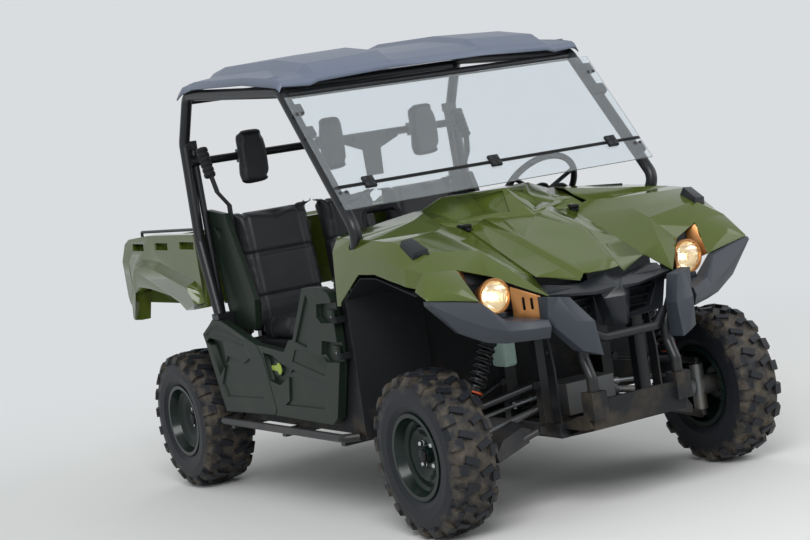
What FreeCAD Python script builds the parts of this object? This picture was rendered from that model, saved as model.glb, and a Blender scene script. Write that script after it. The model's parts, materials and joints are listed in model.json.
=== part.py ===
"""Side by side utility vehicle: three seats, roll cage with roof, half doors and a tilting cargo bed.

Millimetres. +X is the driver's side (the vehicle's left), +Y points to the rear, +Z is up.
The origin is on the ground, at the centre of the vehicle's length and width.
"""

import FreeCAD
import Part
import math
import os

os.makedirs("parts", exist_ok=True)

# Wheels and axles
BODY_HALF_WIDTH = 748.0
WHEELBASE = 2140.0
FRONT_AXLE_Y = -1103.0
REAR_AXLE_Y = FRONT_AXLE_Y + WHEELBASE
TYRE_RADIUS = 317.5
LUG_HEIGHT = 17.0
LUG_SINK = 4.0
LUG_PITCHES = 20
BAR_WIDTH = 25.0
BAR_SKEW = 24.0
BLOCK_WIDTH = 40.0
BLOCK_LEAD = 5.0
FRONT_TYRE_WIDTH = 203.0
REAR_TYRE_WIDTH = 254.0
FRONT_HALF_TRACK = 672.0
REAR_HALF_TRACK = 658.0
RIM_RADIUS = 152.0
RIM_FLANGE_RADIUS = 166.0
RIM_WALL = 5.0
RIM_SHARE = 0.80
TYRE_WALL = 13.0
TYRE_TO_RIM_GAP = 0.2

# Clearance left where one piece seats on another, and where a soft pad does
SEAT_GAP = 0.3
SOFT_GAP = 0.4

# Hubs, uprights and steering
HUB_RADIUS = 62.0
HUB_WALL = 12.0
RIM_DISH = 0.30
KINGPIN_X = 590.0
KNUCKLE_HALF_HEIGHT = 92.0
KNUCKLE_RADIUS = 28.0
FRONT_STUB_RADIUS = 40.0
REAR_STUB_RADIUS = 44.0
STEERING_ARM_LENGTH = 74.0
STEERING_ARM_WALL = 12.0
STEERING_ARM_GAP = 5.0
TIE_ROD_OUTER_Z = 372.0
TIE_ROD_INNER_Z = 412.0
TIE_ROD_RADIUS = 8.0
RACK_RADIUS = 20.0
RACK_HALF_LENGTH = 180.0
STEERING_WHEEL_RADIUS = 178.0
STEERING_WHEEL_X = 400.0
STEERING_WHEEL_Y = -470.0
STEERING_WHEEL_Z = 1150.0
COLUMN_TILT = 38.0
COLUMN_GAP = 18.0

# Main frame
RAIL_X = 230.0
RAIL_SIZE = 50.0
RAIL_BOTTOM = 302.0
RAIL_TOP = RAIL_BOTTOM + RAIL_SIZE
POST_SIZE = 40.0
TOWER_PLATE_Z = 772.0
TOWER_PLATE_WALL = 10.0
TOWER_REACH = 200.0
FRAME_FRONT_Y = -1330.0
FRAME_REAR_Y = 1330.0
BED_RAIL_X = 300.0
BED_RAIL_TOP = 826.0
BED_RAIL_SIZE = 40.0
BED_EAR_GAP = 6.0
BED_EAR_WALL = 10.0
BED_EAR_RADIUS = 11.0
BED_HINGE_Y = 1318.0
BED_HINGE_Z = 844.0
BED_PIN_RADIUS = 6.0
BED_KNUCKLE_RADIUS = 15.0
SKID_WALL = 6.0
OUTRIGGER_Y = (-500.0, 30.0, 540.0)
CROSS_MEMBER_Y = (-1310.0, -1160.0, -800.0, -500.0, 30.0, 300.0, 640.0, 980.0, 1310.0)
CROSS_TOP = RAIL_TOP - 5.0
RECEIVER_OUTER = 63.5
RECEIVER_INNER = 51.2
RECEIVER_Z = 352.0
RECEIVER_END_Y = 1476.0
RECEIVER_PIN_Y = 1430.0
RECEIVER_PIN_RADIUS = 8.2
GUARD_TUBE_X = 196.0
OUTRIGGER_SIZE = 34.0

# Suspension
ARM_RADIUS = 15.0
ARM_INNER_X = RAIL_X + RAIL_SIZE / 2 + ARM_RADIUS + SEAT_GAP
ARM_SPREAD = 118.0
LOWER_ARM_INNER_Z = RAIL_BOTTOM + RAIL_SIZE / 2
UPPER_ARM_INNER_Z = 500.0
BALL_HEIGHT = 26.0
BALL_RADIUS = 20.0
LOWER_BALL_Z = TYRE_RADIUS - KNUCKLE_HALF_HEIGHT - SEAT_GAP
UPPER_BALL_Z = TYRE_RADIUS + KNUCKLE_HALF_HEIGHT + SEAT_GAP
SHOCK_EYE = 13.0
SHOCK_TOP_X = 336.0
SHOCK_FOOT_X = 478.0
SPRING_COILS = 8
SPRING_RADIUS = 32.0
SPRING_CORE = 22.0
SHAFT_RADIUS = 14.0
SHAFT_INNER_X = 112.0
SHAFT_INNER_Z = 400.0
DIFF_NOSE = 96.0
DIFF_TAIL = 42.0

# Engine and silencer
ENGINE_HALF_WIDTH = 170.0
ENGINE_FRONT_Y = 85.0
ENGINE_TOP = 655.0
MUFFLER_Y = 1225.0
MUFFLER_Z = 560.0
MUFFLER_RADIUS = 70.0
MUFFLER_STAND_X = 110.0

# Cab
CAB_SIDE_INSET = 58.0
CAB_HALF_WIDTH = BODY_HALF_WIDTH - CAB_SIDE_INSET
FLOOR_WALL = 8.0
FIREWALL_Y = -640.0
FIREWALL_WALL = 4.0
SILL_TOP = 460.0
SILL_WALL = 8.0
SEAT_SIDE_GAP = 72.0
SEAT_BASE_HALF = CAB_HALF_WIDTH - SEAT_SIDE_GAP
SEAT_BASE_WALL = 6.0
SEAT_FRONT_Y = 60.0
SEAT_BACK_Y = 560.0
SEAT_TOP_Z = 690.0
CUSHION_HEIGHT = 95.0
BACK_TOP_Z = 1290.0
BACK_LEAN = 90.0
BACK_WALL = 100.0
HEADRESTS = ((-450.0, 78.0), (-40.0, 67.0), (450.0, 78.0))
HEADREST_Y = 560.0
HEADREST_LOW = 1366.0
HEADREST_HIGH = 1622.0
HEADREST_WALL = 62.0
HEADREST_BAR_Y = 642.0
HEADREST_BAR_Z = 1505.0
HEADREST_BAR_RADIUS = 18.0
BOOT_RADIUS = 26.0
BOOT_BRACKET_Y = 570.0
BOOT_RIBS = 6
BELT_BRACKET_X = 212.0
BELT_WIDTH = 46.0
BELT_WALL = 3.0
DOOR_SIDE_GAP = 10.0
DOOR_INNER_X = CAB_HALF_WIDTH + DOOR_SIDE_GAP
DOOR_WALL = 38.0
DOOR_GAP = 8.0
DOOR_FRONT_GAP = 5.0
DOOR_HINGE_Y = -588.0
DOOR_HINGE_OUT = 4.0
DOOR_HINGE_X = DOOR_INNER_X + DOOR_WALL + DOOR_HINGE_OUT
DOOR_HINGE_Z = (690.0, 835.0)
DOOR_KNUCKLE_RADIUS = 10.0
DOOR_KNUCKLE_HEIGHT = 26.0
DOOR_PIN_RADIUS = 5.0
DOOR_RELIEF = 8.0
HINGE_POCKET = 22.0
LATCH_POCKET = 24.0
INTAKE_DEPTH = 28.0
STEP_BAR_OUT = 57.0
STEP_BAR_X = DOOR_INNER_X + STEP_BAR_OUT
STEP_BAR_Z = 347.0
STEP_BAR_RADIUS = 17.0

# Roll cage and roof
CAGE_OUT = 28.0
CAGE_X = CAB_HALF_WIDTH + CAGE_OUT
CAGE_TUBE_RADIUS = 24.0
CAGE_BEND_RADIUS = 62.0
CAGE_FOOT_INSET = 30.0
CAGE_FOOT_X = CAB_HALF_WIDTH - CAGE_FOOT_INSET
CAGE_FOOT_Y = FIREWALL_Y - 34.0
CAGE_REAR_FOOT_Y = 548.0
CAGE_CROSS_INSET = 18.0
CAGE_CROSS_X = CAGE_X - CAGE_CROSS_INSET
CAGE_POST_X0 = CAGE_FOOT_X
CAGE_POST_OUT = 2.0
CAGE_POST_X1 = CAB_HALF_WIDTH + CAGE_POST_OUT
QUARTER_PAD_Z = 801.0
STRUT_X = CAGE_X - 46.0
STRUT_RADIUS = 15.0
SHIELD_WALL = 28.0
SHIELD_INNER_X = STRUT_X - STRUT_RADIUS - SEAT_GAP - SHIELD_WALL
ROOF_OVERHANG = 18.0
ROOF_HALF_WIDTH = CAGE_X + ROOF_OVERHANG
ROOF_WALL = 6.0
ROOF_PANEL_INNER = 220.0
ROOF_PANEL_OUTER = 560.0

# Windshield: hinge line between the two panes, and the lean of both
PANE_WALL = 5.0
PANE_OVERHANG = 20.0
PANE_HALF_WIDTH = CAGE_X + PANE_OVERHANG
PANE_HINGE_Y = -747.0
PANE_HINGE_Z = 1339.0
PANE_LEAN = 38.8
LOWER_PANE_LENGTH = 110.0
UPPER_PANE_LENGTH = 480.0
PANE_GAP = 6.0
PANE_HINGE_X = 585.0

# Front body
BODY_WALL = 4.0
HOOD_SEAM_X = 256.0
SEAM = 6.0
SEAM_LEDGE = 24.0
SEAM_LEDGE_DROP = 3.4

# A wall that slopes to an edge reaches this far past it, below
EDGE_SETBACK = 1.6
HOOD_SLOPE = 0.44
HOOD_SEAM_FRONT_Y = -1311.0
HOOD_SEAM_FRONT_Z = 910.0
HOOD_REAR_Y = -868.0
SCOOP_HALF = 334.0
SCOOP_NOSE_Y = -970.0
SCOOP_KNEE_Y = -800.0
SCOOP_TOP_Y = -802.0
SCOOP_TOP_HALF = 213.0
PROW_SLOPE = 1.518
FLANK_NORMAL = (0.305, -0.528, 0.792)
RECESS_DEPTH = 12.0
RIDGE_WIDTH = 20.0
RIDGE_LEAD = 0.12
LAMP_X = 452.0
LAMP_Y = -1322.0
LAMP_Z = 872.0
LAMP_RADIUS = 66.0
LAMP_FOOT_Z = 780.0
GUARD_FRONT_Y = -1580.0
GUARD_TOP_X = 262.0
NOSE_REAR_Y = -1330.0
NOSE_PLATE_DEPTH = 60.0
NOSE_SLATS = 3
NOSE_SLAT_PITCH = 32.0
NOSE_SLAT_WALL = 8.0
TRIM_SLOTS = (0.40, 0.68)
BUMPER_TUBE_RADIUS = 21.0

# Cargo bed
BED_SIDE_INSET = 20.0
BED_HALF_WIDTH = BODY_HALF_WIDTH - BED_SIDE_INSET
BED_FRONT_Y = 684.0
BED_REAR_Y = 1538.0
BED_FLOOR_Z = 862.0
BED_TOP_Z = 1160.0
BED_WALL = 45.0
BED_FLOOR_WALL = 28.0
TAILGATE_WALL = 36.0
TAILGATE_GAP = 6.0
TAILGATE_HINGE_Y = BED_REAR_Y + TAILGATE_GAP + 12.0
TAILGATE_HINGE_Z = BED_FLOOR_Z + 4.0
TAILGATE_HINGE_X = 520.0
TAILGATE_KNUCKLE_HALF = 35.0
TAILGATE_NOTCH_GAP = 6.0
TAILGATE_KNUCKLE_RADIUS = 8.0
TAILGATE_PIN_RADIUS = 3.6
BED_FLARE = 36.0
BED_LINER_WALL = 10.0
BED_BAR_Z = 1206.0
BED_BAR_RADIUS = 7.0
BED_BAR_FRONT_Y = 690.0
BED_BAR_REAR_Y = 1330.0

# Seats: name, centre X, width
SEATS = (("right", -392.0, 430.0), ("middle", 0.0, 330.0), ("left", 392.0, 430.0))

# Edge between door and quarter panel, as (y, z)
SPLIT_LOW = (70.0, 420.0)
SPLIT_KNEE = (130.0, 640.0)
SPLIT_TOP = (178.0, 700.0)

# Facet corners nearer than this to one plane count as flat
FLAT_LIMIT = 0.001


def vec(x, y, z):
    return FreeCAD.Vector(x, y, z)


def box(x0, x1, y0, y1, z0, z1):
    return Part.makeBox(x1 - x0, y1 - y0, z1 - z0, vec(x0, y0, z0))


def polygon_face(points):
    return Part.Face(Part.makePolygon(points + points[:1]))


def side_prism(outline, x0, x1):
    """Outline of (y, z) points, standing across X from x0 to x1."""
    return polygon_face([vec(x0, y, z) for y, z in outline]).extrude(vec(x1 - x0, 0, 0))


def front_prism(outline, y0, y1):
    """Outline of (x, z) points, along Y from y0 to y1."""
    return polygon_face([vec(x, y0, z) for x, z in outline]).extrude(vec(0, y1 - y0, 0))


def rod(start, end, radius):
    axis = end.sub(start)
    return Part.makeCylinder(radius, axis.Length, start, axis)


def bent_path(points, bend_radius):
    """Straight runs joined by tangent arcs."""
    edges = []
    start = points[0]
    for before, corner, after in zip(points, points[1:], points[2:]):
        arriving = corner.sub(before).normalize()
        leaving = after.sub(corner).normalize()
        turn = arriving.getAngle(leaving)
        setback = bend_radius * math.tan(turn / 2)
        arc_start = corner.sub(arriving * setback)
        arc_end = corner.add(leaving * setback)
        inward = leaving.sub(arriving).normalize()
        sagitta = bend_radius / math.cos(turn / 2) - bend_radius
        edges.append(Part.LineSegment(start, arc_start).toShape())
        edges.append(Part.Arc(arc_start, corner.add(inward * sagitta), arc_end).toShape())
        start = arc_end
    edges.append(Part.LineSegment(start, points[-1]).toShape())
    return Part.Wire(edges)


def tube(points, radius, bend_radius):
    path = bent_path(points, bend_radius)
    ring = Part.Wire(Part.makeCircle(radius, points[0], points[1].sub(points[0])))
    return path.makePipeShell([ring], True, False)


def mirrored(shape):
    return shape.mirror(vec(0, 0, 0), vec(1, 0, 0))


def mirrored_point(point):
    return vec(-point.x, point.y, point.z)


def both(shape):
    """The piece on the left side and its twin on the right, as two solids."""
    return Part.makeCompound([shape, mirrored(shape)])


def largest(shape):
    """The biggest solid of a shape that a cut has parted."""
    return max(shape.Solids, key=lambda solid: solid.Volume)


def fuse(shapes):
    whole = shapes[0]
    if len(shapes) > 1:
        whole = shapes[0].multiFuse(shapes[1:])
    return whole.removeSplitter()


def turned(profile, x, y, z):
    """Closed (offset along X, radius) profile turned about an axle through (y, z)."""
    points = [vec(x + offset, y, z + radius) for offset, radius in profile]
    return polygon_face(points).revolve(vec(x, y, z), vec(1, 0, 0), 360)


def inset(outline, distance):
    """Open outline moved sideways, to its right, by a wall thickness."""
    normals = []
    for (x0, z0), (x1, z1) in zip(outline, outline[1:]):
        length = math.hypot(x1 - x0, z1 - z0)
        normals.append(((z1 - z0) / length, -(x1 - x0) / length))
    moved = []
    for index, (x, z) in enumerate(outline):
        near = normals[max(index - 1, 0):index + 1]
        nx = sum(n[0] for n in near) / len(near)
        nz = sum(n[1] for n in near) / len(near)
        scale = distance / (nx * nx + nz * nz)
        moved.append((x + nx * scale, z + nz * scale))
    return moved


def solid_loft(stations):
    """Closed outlines of (x, z) points at stations along Y."""
    wires = []
    for y, outline in stations:
        wires.append(Part.makePolygon([vec(x, y, z) for x, z in outline + outline[:1]]))
    return Part.makeLoft(wires, True, True)


def sheet(patches, wall):
    """Moulded panel of even wall under a surface of flat facets.

    Each patch is a grid: rows of points that run the same way, the outer face to the left of each row.
    Points that coincide are one corner, so a row may run together to close a patch.
    """
    corners = {}
    facets = []
    for rows in patches:
        for row, after in zip(rows, rows[1:]):
            for a, b, c, d in zip(row, row[1:], after[1:], after):
                if math.dist(a, c) <= math.dist(b, d) + FLAT_LIMIT:
                    facets += [(a, b, c), (a, c, d)]
                else:
                    facets += [(a, b, d), (b, c, d)]
    facets = [[tuple(round(value, 3) for value in point) for point in facet] for facet in facets]
    facets = [facet for facet in facets if len(set(facet)) == 3]
    edges = {}
    for facet in facets:
        a, b, c = [vec(*point) for point in facet]
        normal = b.sub(a).cross(c.sub(a))
        for point in facet:
            corners[point] = corners.get(point, vec(0, 0, 0)).add(normal)
        for start, end in zip(facet, facet[1:] + facet[:1]):
            edges[(start, end)] = True
    under = {point: vec(*point).sub(normal.normalize() * wall) for point, normal in corners.items()}
    loops = []
    for facet in facets:
        loops.append([vec(*point) for point in facet])
        loops.append([under[point] for point in facet[::-1]])
    for start, end in edges:
        if (end, start) not in edges:
            loops.append([vec(*start), under[start], vec(*end)])
            loops.append([vec(*end), under[start], under[end]])
    return faceted(loops)


def faceted(loops):
    """Closed solid from flat loops of points that meet edge to edge."""
    shell = Part.Shell([polygon_face(loop) for loop in loops])
    shell.sewShape()
    solid = Part.Solid(shell)
    if solid.Volume < 0:
        solid.reverse()
    return solid.removeSplitter()


def flat_loops(points):
    """A loop by itself if it is flat, or else the fan of triangles over it."""
    normal = points[1].sub(points[0]).cross(points[2].sub(points[0]))
    if normal.Length > 0:
        normal.normalize()
        if all(abs(point.sub(points[0]).dot(normal)) < FLAT_LIMIT for point in points[3:]):
            return [points]
    return [[points[0], points[index], points[index + 1]] for index in range(1, len(points) - 1)]


def mirrored_rows(rows):
    """Rows over the left half, from the middle out, made whole with their twins on the right."""
    return [[(-x, y, z) for x, y, z in row[:0:-1]] + list(row) for row in rows]


def ring_loft(rings):
    """Solid with flat facets between closed rings of points."""
    rings = [[vec(*point) for point in ring] for ring in rings]
    loops = flat_loops(rings[0]) + flat_loops(rings[-1][::-1])
    for ring, after in zip(rings, rings[1:]):
        for index, point in enumerate(ring):
            corners = [after[index], after[index - 1], ring[index - 1], point]
            loops += flat_loops(corners)
    return faceted(loops)


def spindle(start, end, profile):
    """Solid of revolution between two points, from (distance from the start, radius) pairs."""
    axis = end.sub(start)
    points = [vec(radius, 0, distance) for distance, radius in profile]
    points = [vec(0, 0, profile[0][0])] + points + [vec(0, 0, profile[-1][0])]
    body = polygon_face(points).revolve(vec(0, 0, 0), vec(0, 0, 1), 360)
    turn = FreeCAD.Rotation(vec(0, 0, 1), axis)
    body.Placement = FreeCAD.Placement(start, turn)
    return body


def tread_bar(half_track, axle_y, width, side, turn):
    """One slanted bar of the tread, with the block that carries it over the shoulder, at an angle of the wheel."""
    half = side * width / 2
    tread = TYRE_RADIUS
    root = tread - LUG_HEIGHT - LUG_SINK
    bar = [(half * 0.04, root), (half * 0.04, tread), (half * 0.56, tread - 3), (half * 0.60, root - 6)]
    block = [(half * 0.52, root - 4), (half * 0.52, tread - 4), (half * 0.86, tread - 13), (half, tread - 42),
             (half * 0.90, tread - 50)]
    lugs = []
    for outline, lug_width, lead, skew in ((bar, BAR_WIDTH, 0.0, BAR_SKEW), (block, BLOCK_WIDTH, BLOCK_LEAD, 0.0)):
        points = [vec(x, -lug_width / 2, radius) for x, radius in outline]
        lug = polygon_face(points).extrude(vec(0, lug_width, 0))
        lug.rotate(vec(half * 0.3, 0, 0), vec(0, 0, 1), side * skew)
        lug.rotate(vec(0, 0, 0), vec(1, 0, 0), turn + lead)
        lugs.append(lug)
    for lug in lugs:
        lug.translate(vec(half_track, axle_y, TYRE_RADIUS))
    return lugs


# Wheels

def tyre(half_track, axle_y, width):
    """Carcass with its bars: those of one side stand between those of the other."""
    half = width / 2
    bead = RIM_RADIUS + TYRE_TO_RIM_GAP
    tread = TYRE_RADIUS - LUG_HEIGHT
    bead_half = half * RIM_SHARE - TYRE_TO_RIM_GAP
    left_half = [
        (bead_half, bead),
        (bead_half, RIM_FLANGE_RADIUS + 1),
        (half * 0.94, bead + 42),
        (half * 0.97, bead + 78),
        (half * 0.93, tread - 34),
        (half * 0.80, tread - 12),
        (half * 0.42, tread),
    ]
    outer = [(-x, radius) for x, radius in left_half] + left_half[::-1]
    crown = tread - TYRE_WALL
    inner_half = [
        (half * RIM_SHARE - TYRE_WALL, bead),
        (half * 0.94 - TYRE_WALL, bead + 60),
        (half * 0.92 - TYRE_WALL, crown - 24),
        (half * 0.55, crown),
    ]
    inner = inner_half + [(-x, radius) for x, radius in inner_half[::-1]]
    carcass = turned(outer + inner, half_track, axle_y, TYRE_RADIUS)
    lugs = []
    pitch = 360.0 / LUG_PITCHES
    for step in range(LUG_PITCHES):
        lugs += tread_bar(half_track, axle_y, width, 1, step * pitch)
        lugs += tread_bar(half_track, axle_y, width, -1, (step + 0.5) * pitch)
    return carcass.multiFuse(lugs)


def rim(half_track, axle_y, width):
    """Barrel with flanges, dished disc and hub flange: all that spins inside the tyre."""
    half = width / 2 * RIM_SHARE
    disc = half * RIM_DISH
    profile = [
        (-half - 8, RIM_FLANGE_RADIUS),
        (-half, RIM_FLANGE_RADIUS),
        (-half, RIM_RADIUS),
        (half, RIM_RADIUS),
        (half, RIM_FLANGE_RADIUS),
        (half + 8, RIM_FLANGE_RADIUS),
        (half + 8, RIM_RADIUS - 2),
        (half - 30, RIM_RADIUS - 16),
        (half - 40, RIM_RADIUS - 28),
        (disc + 22, HUB_RADIUS + 36),
        (disc + 8, HUB_RADIUS + 16),
        (disc, HUB_RADIUS),
        (disc, 34),
        (disc + 26, 30),
        (disc + 30, 0),
        (disc - 12, 0),
        (disc - 12, HUB_RADIUS + 10),
        (disc + 12, HUB_RADIUS + 44),
        (half - 50, RIM_RADIUS - RIM_WALL),
        (-half - 8, RIM_RADIUS - RIM_WALL),
    ]
    wheel = turned(profile, half_track, axle_y, TYRE_RADIUS)
    hub_in = half_track + disc - 12
    hub = Part.makeCylinder(HUB_RADIUS, HUB_WALL, vec(hub_in - HUB_WALL, axle_y, TYRE_RADIUS), vec(1, 0, 0))
    return fuse([wheel, hub])


def rim_hub_face(half_track, width):
    """Where the inner face of the hub flange stands, for the carriers that end there."""
    return half_track + width / 2 * RIM_SHARE * RIM_DISH - 12 - HUB_WALL


def upright(axle_y, half_track, width, stub_radius):
    """Column on the ball joint line with the stub that carries the hub."""
    face = rim_hub_face(half_track, width)
    column = Part.makeCylinder(KNUCKLE_RADIUS, 2 * KNUCKLE_HALF_HEIGHT,
                               vec(KINGPIN_X, axle_y, TYRE_RADIUS - KNUCKLE_HALF_HEIGHT))
    stub = rod(vec(KINGPIN_X, axle_y, TYRE_RADIUS), vec(face - SEAT_GAP, axle_y, TYRE_RADIUS), stub_radius)
    return [column, stub]


def front_knuckle():
    """Steered upright with its steering arm, which points to the rear."""
    arm = box(KINGPIN_X - 14, KINGPIN_X + 8, FRONT_AXLE_Y, FRONT_AXLE_Y + STEERING_ARM_LENGTH + 14,
              TIE_ROD_OUTER_Z - 2 * STEERING_ARM_WALL, TIE_ROD_OUTER_Z - STEERING_ARM_WALL - STEERING_ARM_GAP)
    return fuse(upright(FRONT_AXLE_Y, FRONT_HALF_TRACK, FRONT_TYRE_WIDTH, FRONT_STUB_RADIUS) + [arm])


def rear_carrier():
    return fuse(upright(REAR_AXLE_Y, REAR_HALF_TRACK, REAR_TYRE_WIDTH, REAR_STUB_RADIUS))


# Suspension

def wishbone(axle_y, inner_z, ball_low_z, leg_rise):
    """Two legs from the inner bushes to one ball joint at the upright."""
    leg_end_z = ball_low_z + leg_rise
    pieces = [Part.makeCylinder(BALL_RADIUS, BALL_HEIGHT, vec(KINGPIN_X, axle_y, ball_low_z))]
    for side in (-1, 1):
        bush_y = axle_y + side * ARM_SPREAD
        bush = rod(vec(ARM_INNER_X, bush_y - 22, inner_z), vec(ARM_INNER_X, bush_y + 22, inner_z), ARM_RADIUS)
        leg = rod(vec(ARM_INNER_X, bush_y, inner_z), vec(KINGPIN_X, axle_y, leg_end_z), ARM_RADIUS - 2)
        pieces += [bush, leg]
    return pieces


def shock_foot_z():
    """Top of the shock's foot plate on the upper arm."""
    share = (SHOCK_FOOT_X - ARM_INNER_X) / (KINGPIN_X - ARM_INNER_X)
    ball_mid = UPPER_BALL_Z + BALL_HEIGHT / 2
    return UPPER_ARM_INNER_Z + share * (ball_mid - UPPER_ARM_INNER_Z) + 16


def upper_arm(axle_y):
    share = (SHOCK_FOOT_X - ARM_INNER_X) / (KINGPIN_X - ARM_INNER_X)
    half_width = ARM_SPREAD * (1 - share)
    top = shock_foot_z()
    plate = box(SHOCK_FOOT_X - 22, SHOCK_FOOT_X + 22, axle_y - half_width, axle_y + half_width, top - 20, top)
    return fuse(wishbone(axle_y, UPPER_ARM_INNER_Z, UPPER_BALL_Z, BALL_HEIGHT / 2) + [plate])


def lower_arm(axle_y, guard_side):
    """Lower wishbone with the faceted plastic guard along one of its legs."""
    guard_near = axle_y + guard_side * 34
    guard_far = axle_y + guard_side * 104
    crown = [(300, 352), (345, 372), (430, 342), (492, 282), (478, 234), (320, 282)]
    foot = [(300, 332), (345, 350), (430, 320), (470, 268), (462, 240), (320, 286)]
    guard = solid_loft([(guard_near, crown), (guard_far, foot)])
    return fuse(wishbone(axle_y, LOWER_ARM_INNER_Z, LOWER_BALL_Z - BALL_HEIGHT, 0.0) + [guard])


def shock(axle_y):
    """Coil-over: eye, damper rod, spring seats, coils and reservoir body, from the upper arm to the tower."""
    foot = vec(SHOCK_FOOT_X, axle_y, shock_foot_z() + SHOCK_EYE + SEAT_GAP)
    top = vec(SHOCK_TOP_X, axle_y, TOWER_PLATE_Z - SHOCK_EYE - SEAT_GAP)
    run = top.sub(foot).Length
    eyes = [rod(vec(p.x, p.y - 18, p.z), vec(p.x, p.y + 18, p.z), SHOCK_EYE) for p in (foot, top)]
    seat = run * 0.10
    coils_end = run * 0.82
    pitch = (coils_end - seat - 8) / SPRING_COILS
    profile = [(0.0, 8), (seat, 8), (seat, SPRING_RADIUS + 3), (seat + 6, SPRING_RADIUS + 3), (seat + 6, SPRING_CORE)]
    for coil in range(SPRING_COILS):
        base = seat + 8 + coil * pitch
        profile += [(base, SPRING_CORE), (base + pitch * 0.25, SPRING_RADIUS), (base + pitch * 0.55, SPRING_RADIUS),
                    (base + pitch * 0.80, SPRING_CORE)]
    profile += [(coils_end, SPRING_CORE), (coils_end, SPRING_RADIUS + 3), (coils_end + 6, SPRING_RADIUS + 3),
                (coils_end + 6, 19), (run - 2, 19)]
    return fuse(eyes + [spindle(foot, top, profile)])


def drive_unit(axle_y, outer_gap):
    """Differential housing with a half shaft and its two boots on each side."""
    inner = vec(SHAFT_INNER_X - 6, axle_y, SHAFT_INNER_Z)
    outer = vec(KINGPIN_X - KNUCKLE_RADIUS - outer_gap, axle_y, TYRE_RADIUS + 2)
    run = outer.sub(inner)
    pieces = [
        box(-SHAFT_INNER_X, SHAFT_INNER_X, axle_y - DIFF_NOSE, axle_y + DIFF_TAIL,
            CROSS_TOP + SEAT_GAP, SHAFT_INNER_Z + 70),
    ]
    for flip in (False, True):
        side = [rod(inner, outer, SHAFT_RADIUS)]
        for start, end, r0, r1 in ((0.0, 0.18, 42, 20), (0.80, 0.985, 20, 38)):
            base = inner.add(run * start)
            side.append(Part.makeCone(r0, r1, run.Length * (end - start), base, run))
        pieces += [mirrored(s) for s in side] if flip else side
    return fuse(pieces)


# Chassis

def ladder_frame():
    """Box-section ladder with cross members, outriggers, cage posts and the hitch receiver."""
    half = RAIL_SIZE / 2
    low, high = RAIL_BOTTOM, RAIL_TOP
    pieces = []
    for side in (-1, 1):
        x = side * RAIL_X
        pieces.append(box(x - half, x + half, FRAME_FRONT_Y, FRAME_REAR_Y, low, high))
        x0, x1 = sorted((side * CAGE_POST_X0, side * CAGE_POST_X1))
        pieces.append(box(x0, x1, OUTRIGGER_Y[2] - OUTRIGGER_SIZE / 2, OUTRIGGER_Y[2] + OUTRIGGER_SIZE / 2, high - 8,
                          QUARTER_PAD_Z - SEAT_GAP))
        x0, x1 = sorted((x, side * (CAGE_FOOT_X + CAGE_TUBE_RADIUS)))
        pieces.append(box(x0, x1, CAGE_FOOT_Y - OUTRIGGER_SIZE / 2, CAGE_FOOT_Y + OUTRIGGER_SIZE / 2,
                          low + 8, high - SEAT_GAP))
        x0, x1 = sorted((side * (MUFFLER_STAND_X - 15), side * (MUFFLER_STAND_X + 15)))
        pieces.append(box(x0, x1, MUFFLER_Y - POST_SIZE / 2, MUFFLER_Y + POST_SIZE / 2, CROSS_TOP - 10,
                          MUFFLER_Z - MUFFLER_RADIUS - SEAT_GAP))
        for y in OUTRIGGER_Y:
            inner = x + side * half
            outer = side * (STEP_BAR_X - STEP_BAR_RADIUS)
            pieces.append(box(min(inner, outer), max(inner, outer), y - OUTRIGGER_SIZE / 2, y + OUTRIGGER_SIZE / 2,
                              low + 8, high - 8))
    for y in CROSS_MEMBER_Y + (FRONT_AXLE_Y + STEERING_ARM_LENGTH, MUFFLER_Y):
        pieces.append(box(-RAIL_X, RAIL_X, y - POST_SIZE / 2, y + POST_SIZE / 2, low + 5, CROSS_TOP))
    receiver = box(-RECEIVER_OUTER / 2, RECEIVER_OUTER / 2, FRAME_REAR_Y - 60, RECEIVER_END_Y,
                   RECEIVER_Z - RECEIVER_OUTER / 2, RECEIVER_Z + RECEIVER_OUTER / 2)
    socket = box(-RECEIVER_INNER / 2, RECEIVER_INNER / 2, FRAME_REAR_Y, RECEIVER_END_Y + 1,
                 RECEIVER_Z - RECEIVER_INNER / 2, RECEIVER_Z + RECEIVER_INNER / 2)
    pin = rod(vec(-RECEIVER_OUTER, RECEIVER_PIN_Y, RECEIVER_Z), vec(RECEIVER_OUTER, RECEIVER_PIN_Y, RECEIVER_Z),
              RECEIVER_PIN_RADIUS)
    return fuse(pieces + [receiver]).cut(socket).cut(pin)


def shock_tower(axle_y):
    """Posts at the arm bushes with the head rails and the plate that takes the shocks, welded on the ladder."""
    half = RAIL_SIZE / 2
    pieces = []
    for side in (-1, 1):
        x = side * RAIL_X
        for spread in (-ARM_SPREAD, ARM_SPREAD):
            y = axle_y + spread
            pieces.append(box(x - half, x + half, y - POST_SIZE / 2, y + POST_SIZE / 2, RAIL_TOP, TOWER_PLATE_Z))
        pieces.append(box(x - half, x + half, axle_y - TOWER_REACH, axle_y + TOWER_REACH,
                          TOWER_PLATE_Z - POST_SIZE, TOWER_PLATE_Z))
    pieces.append(box(-SHOCK_TOP_X - 28, SHOCK_TOP_X + 28, axle_y - 34, axle_y + 34,
                      TOWER_PLATE_Z, TOWER_PLATE_Z + TOWER_PLATE_WALL))
    return pieces


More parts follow.
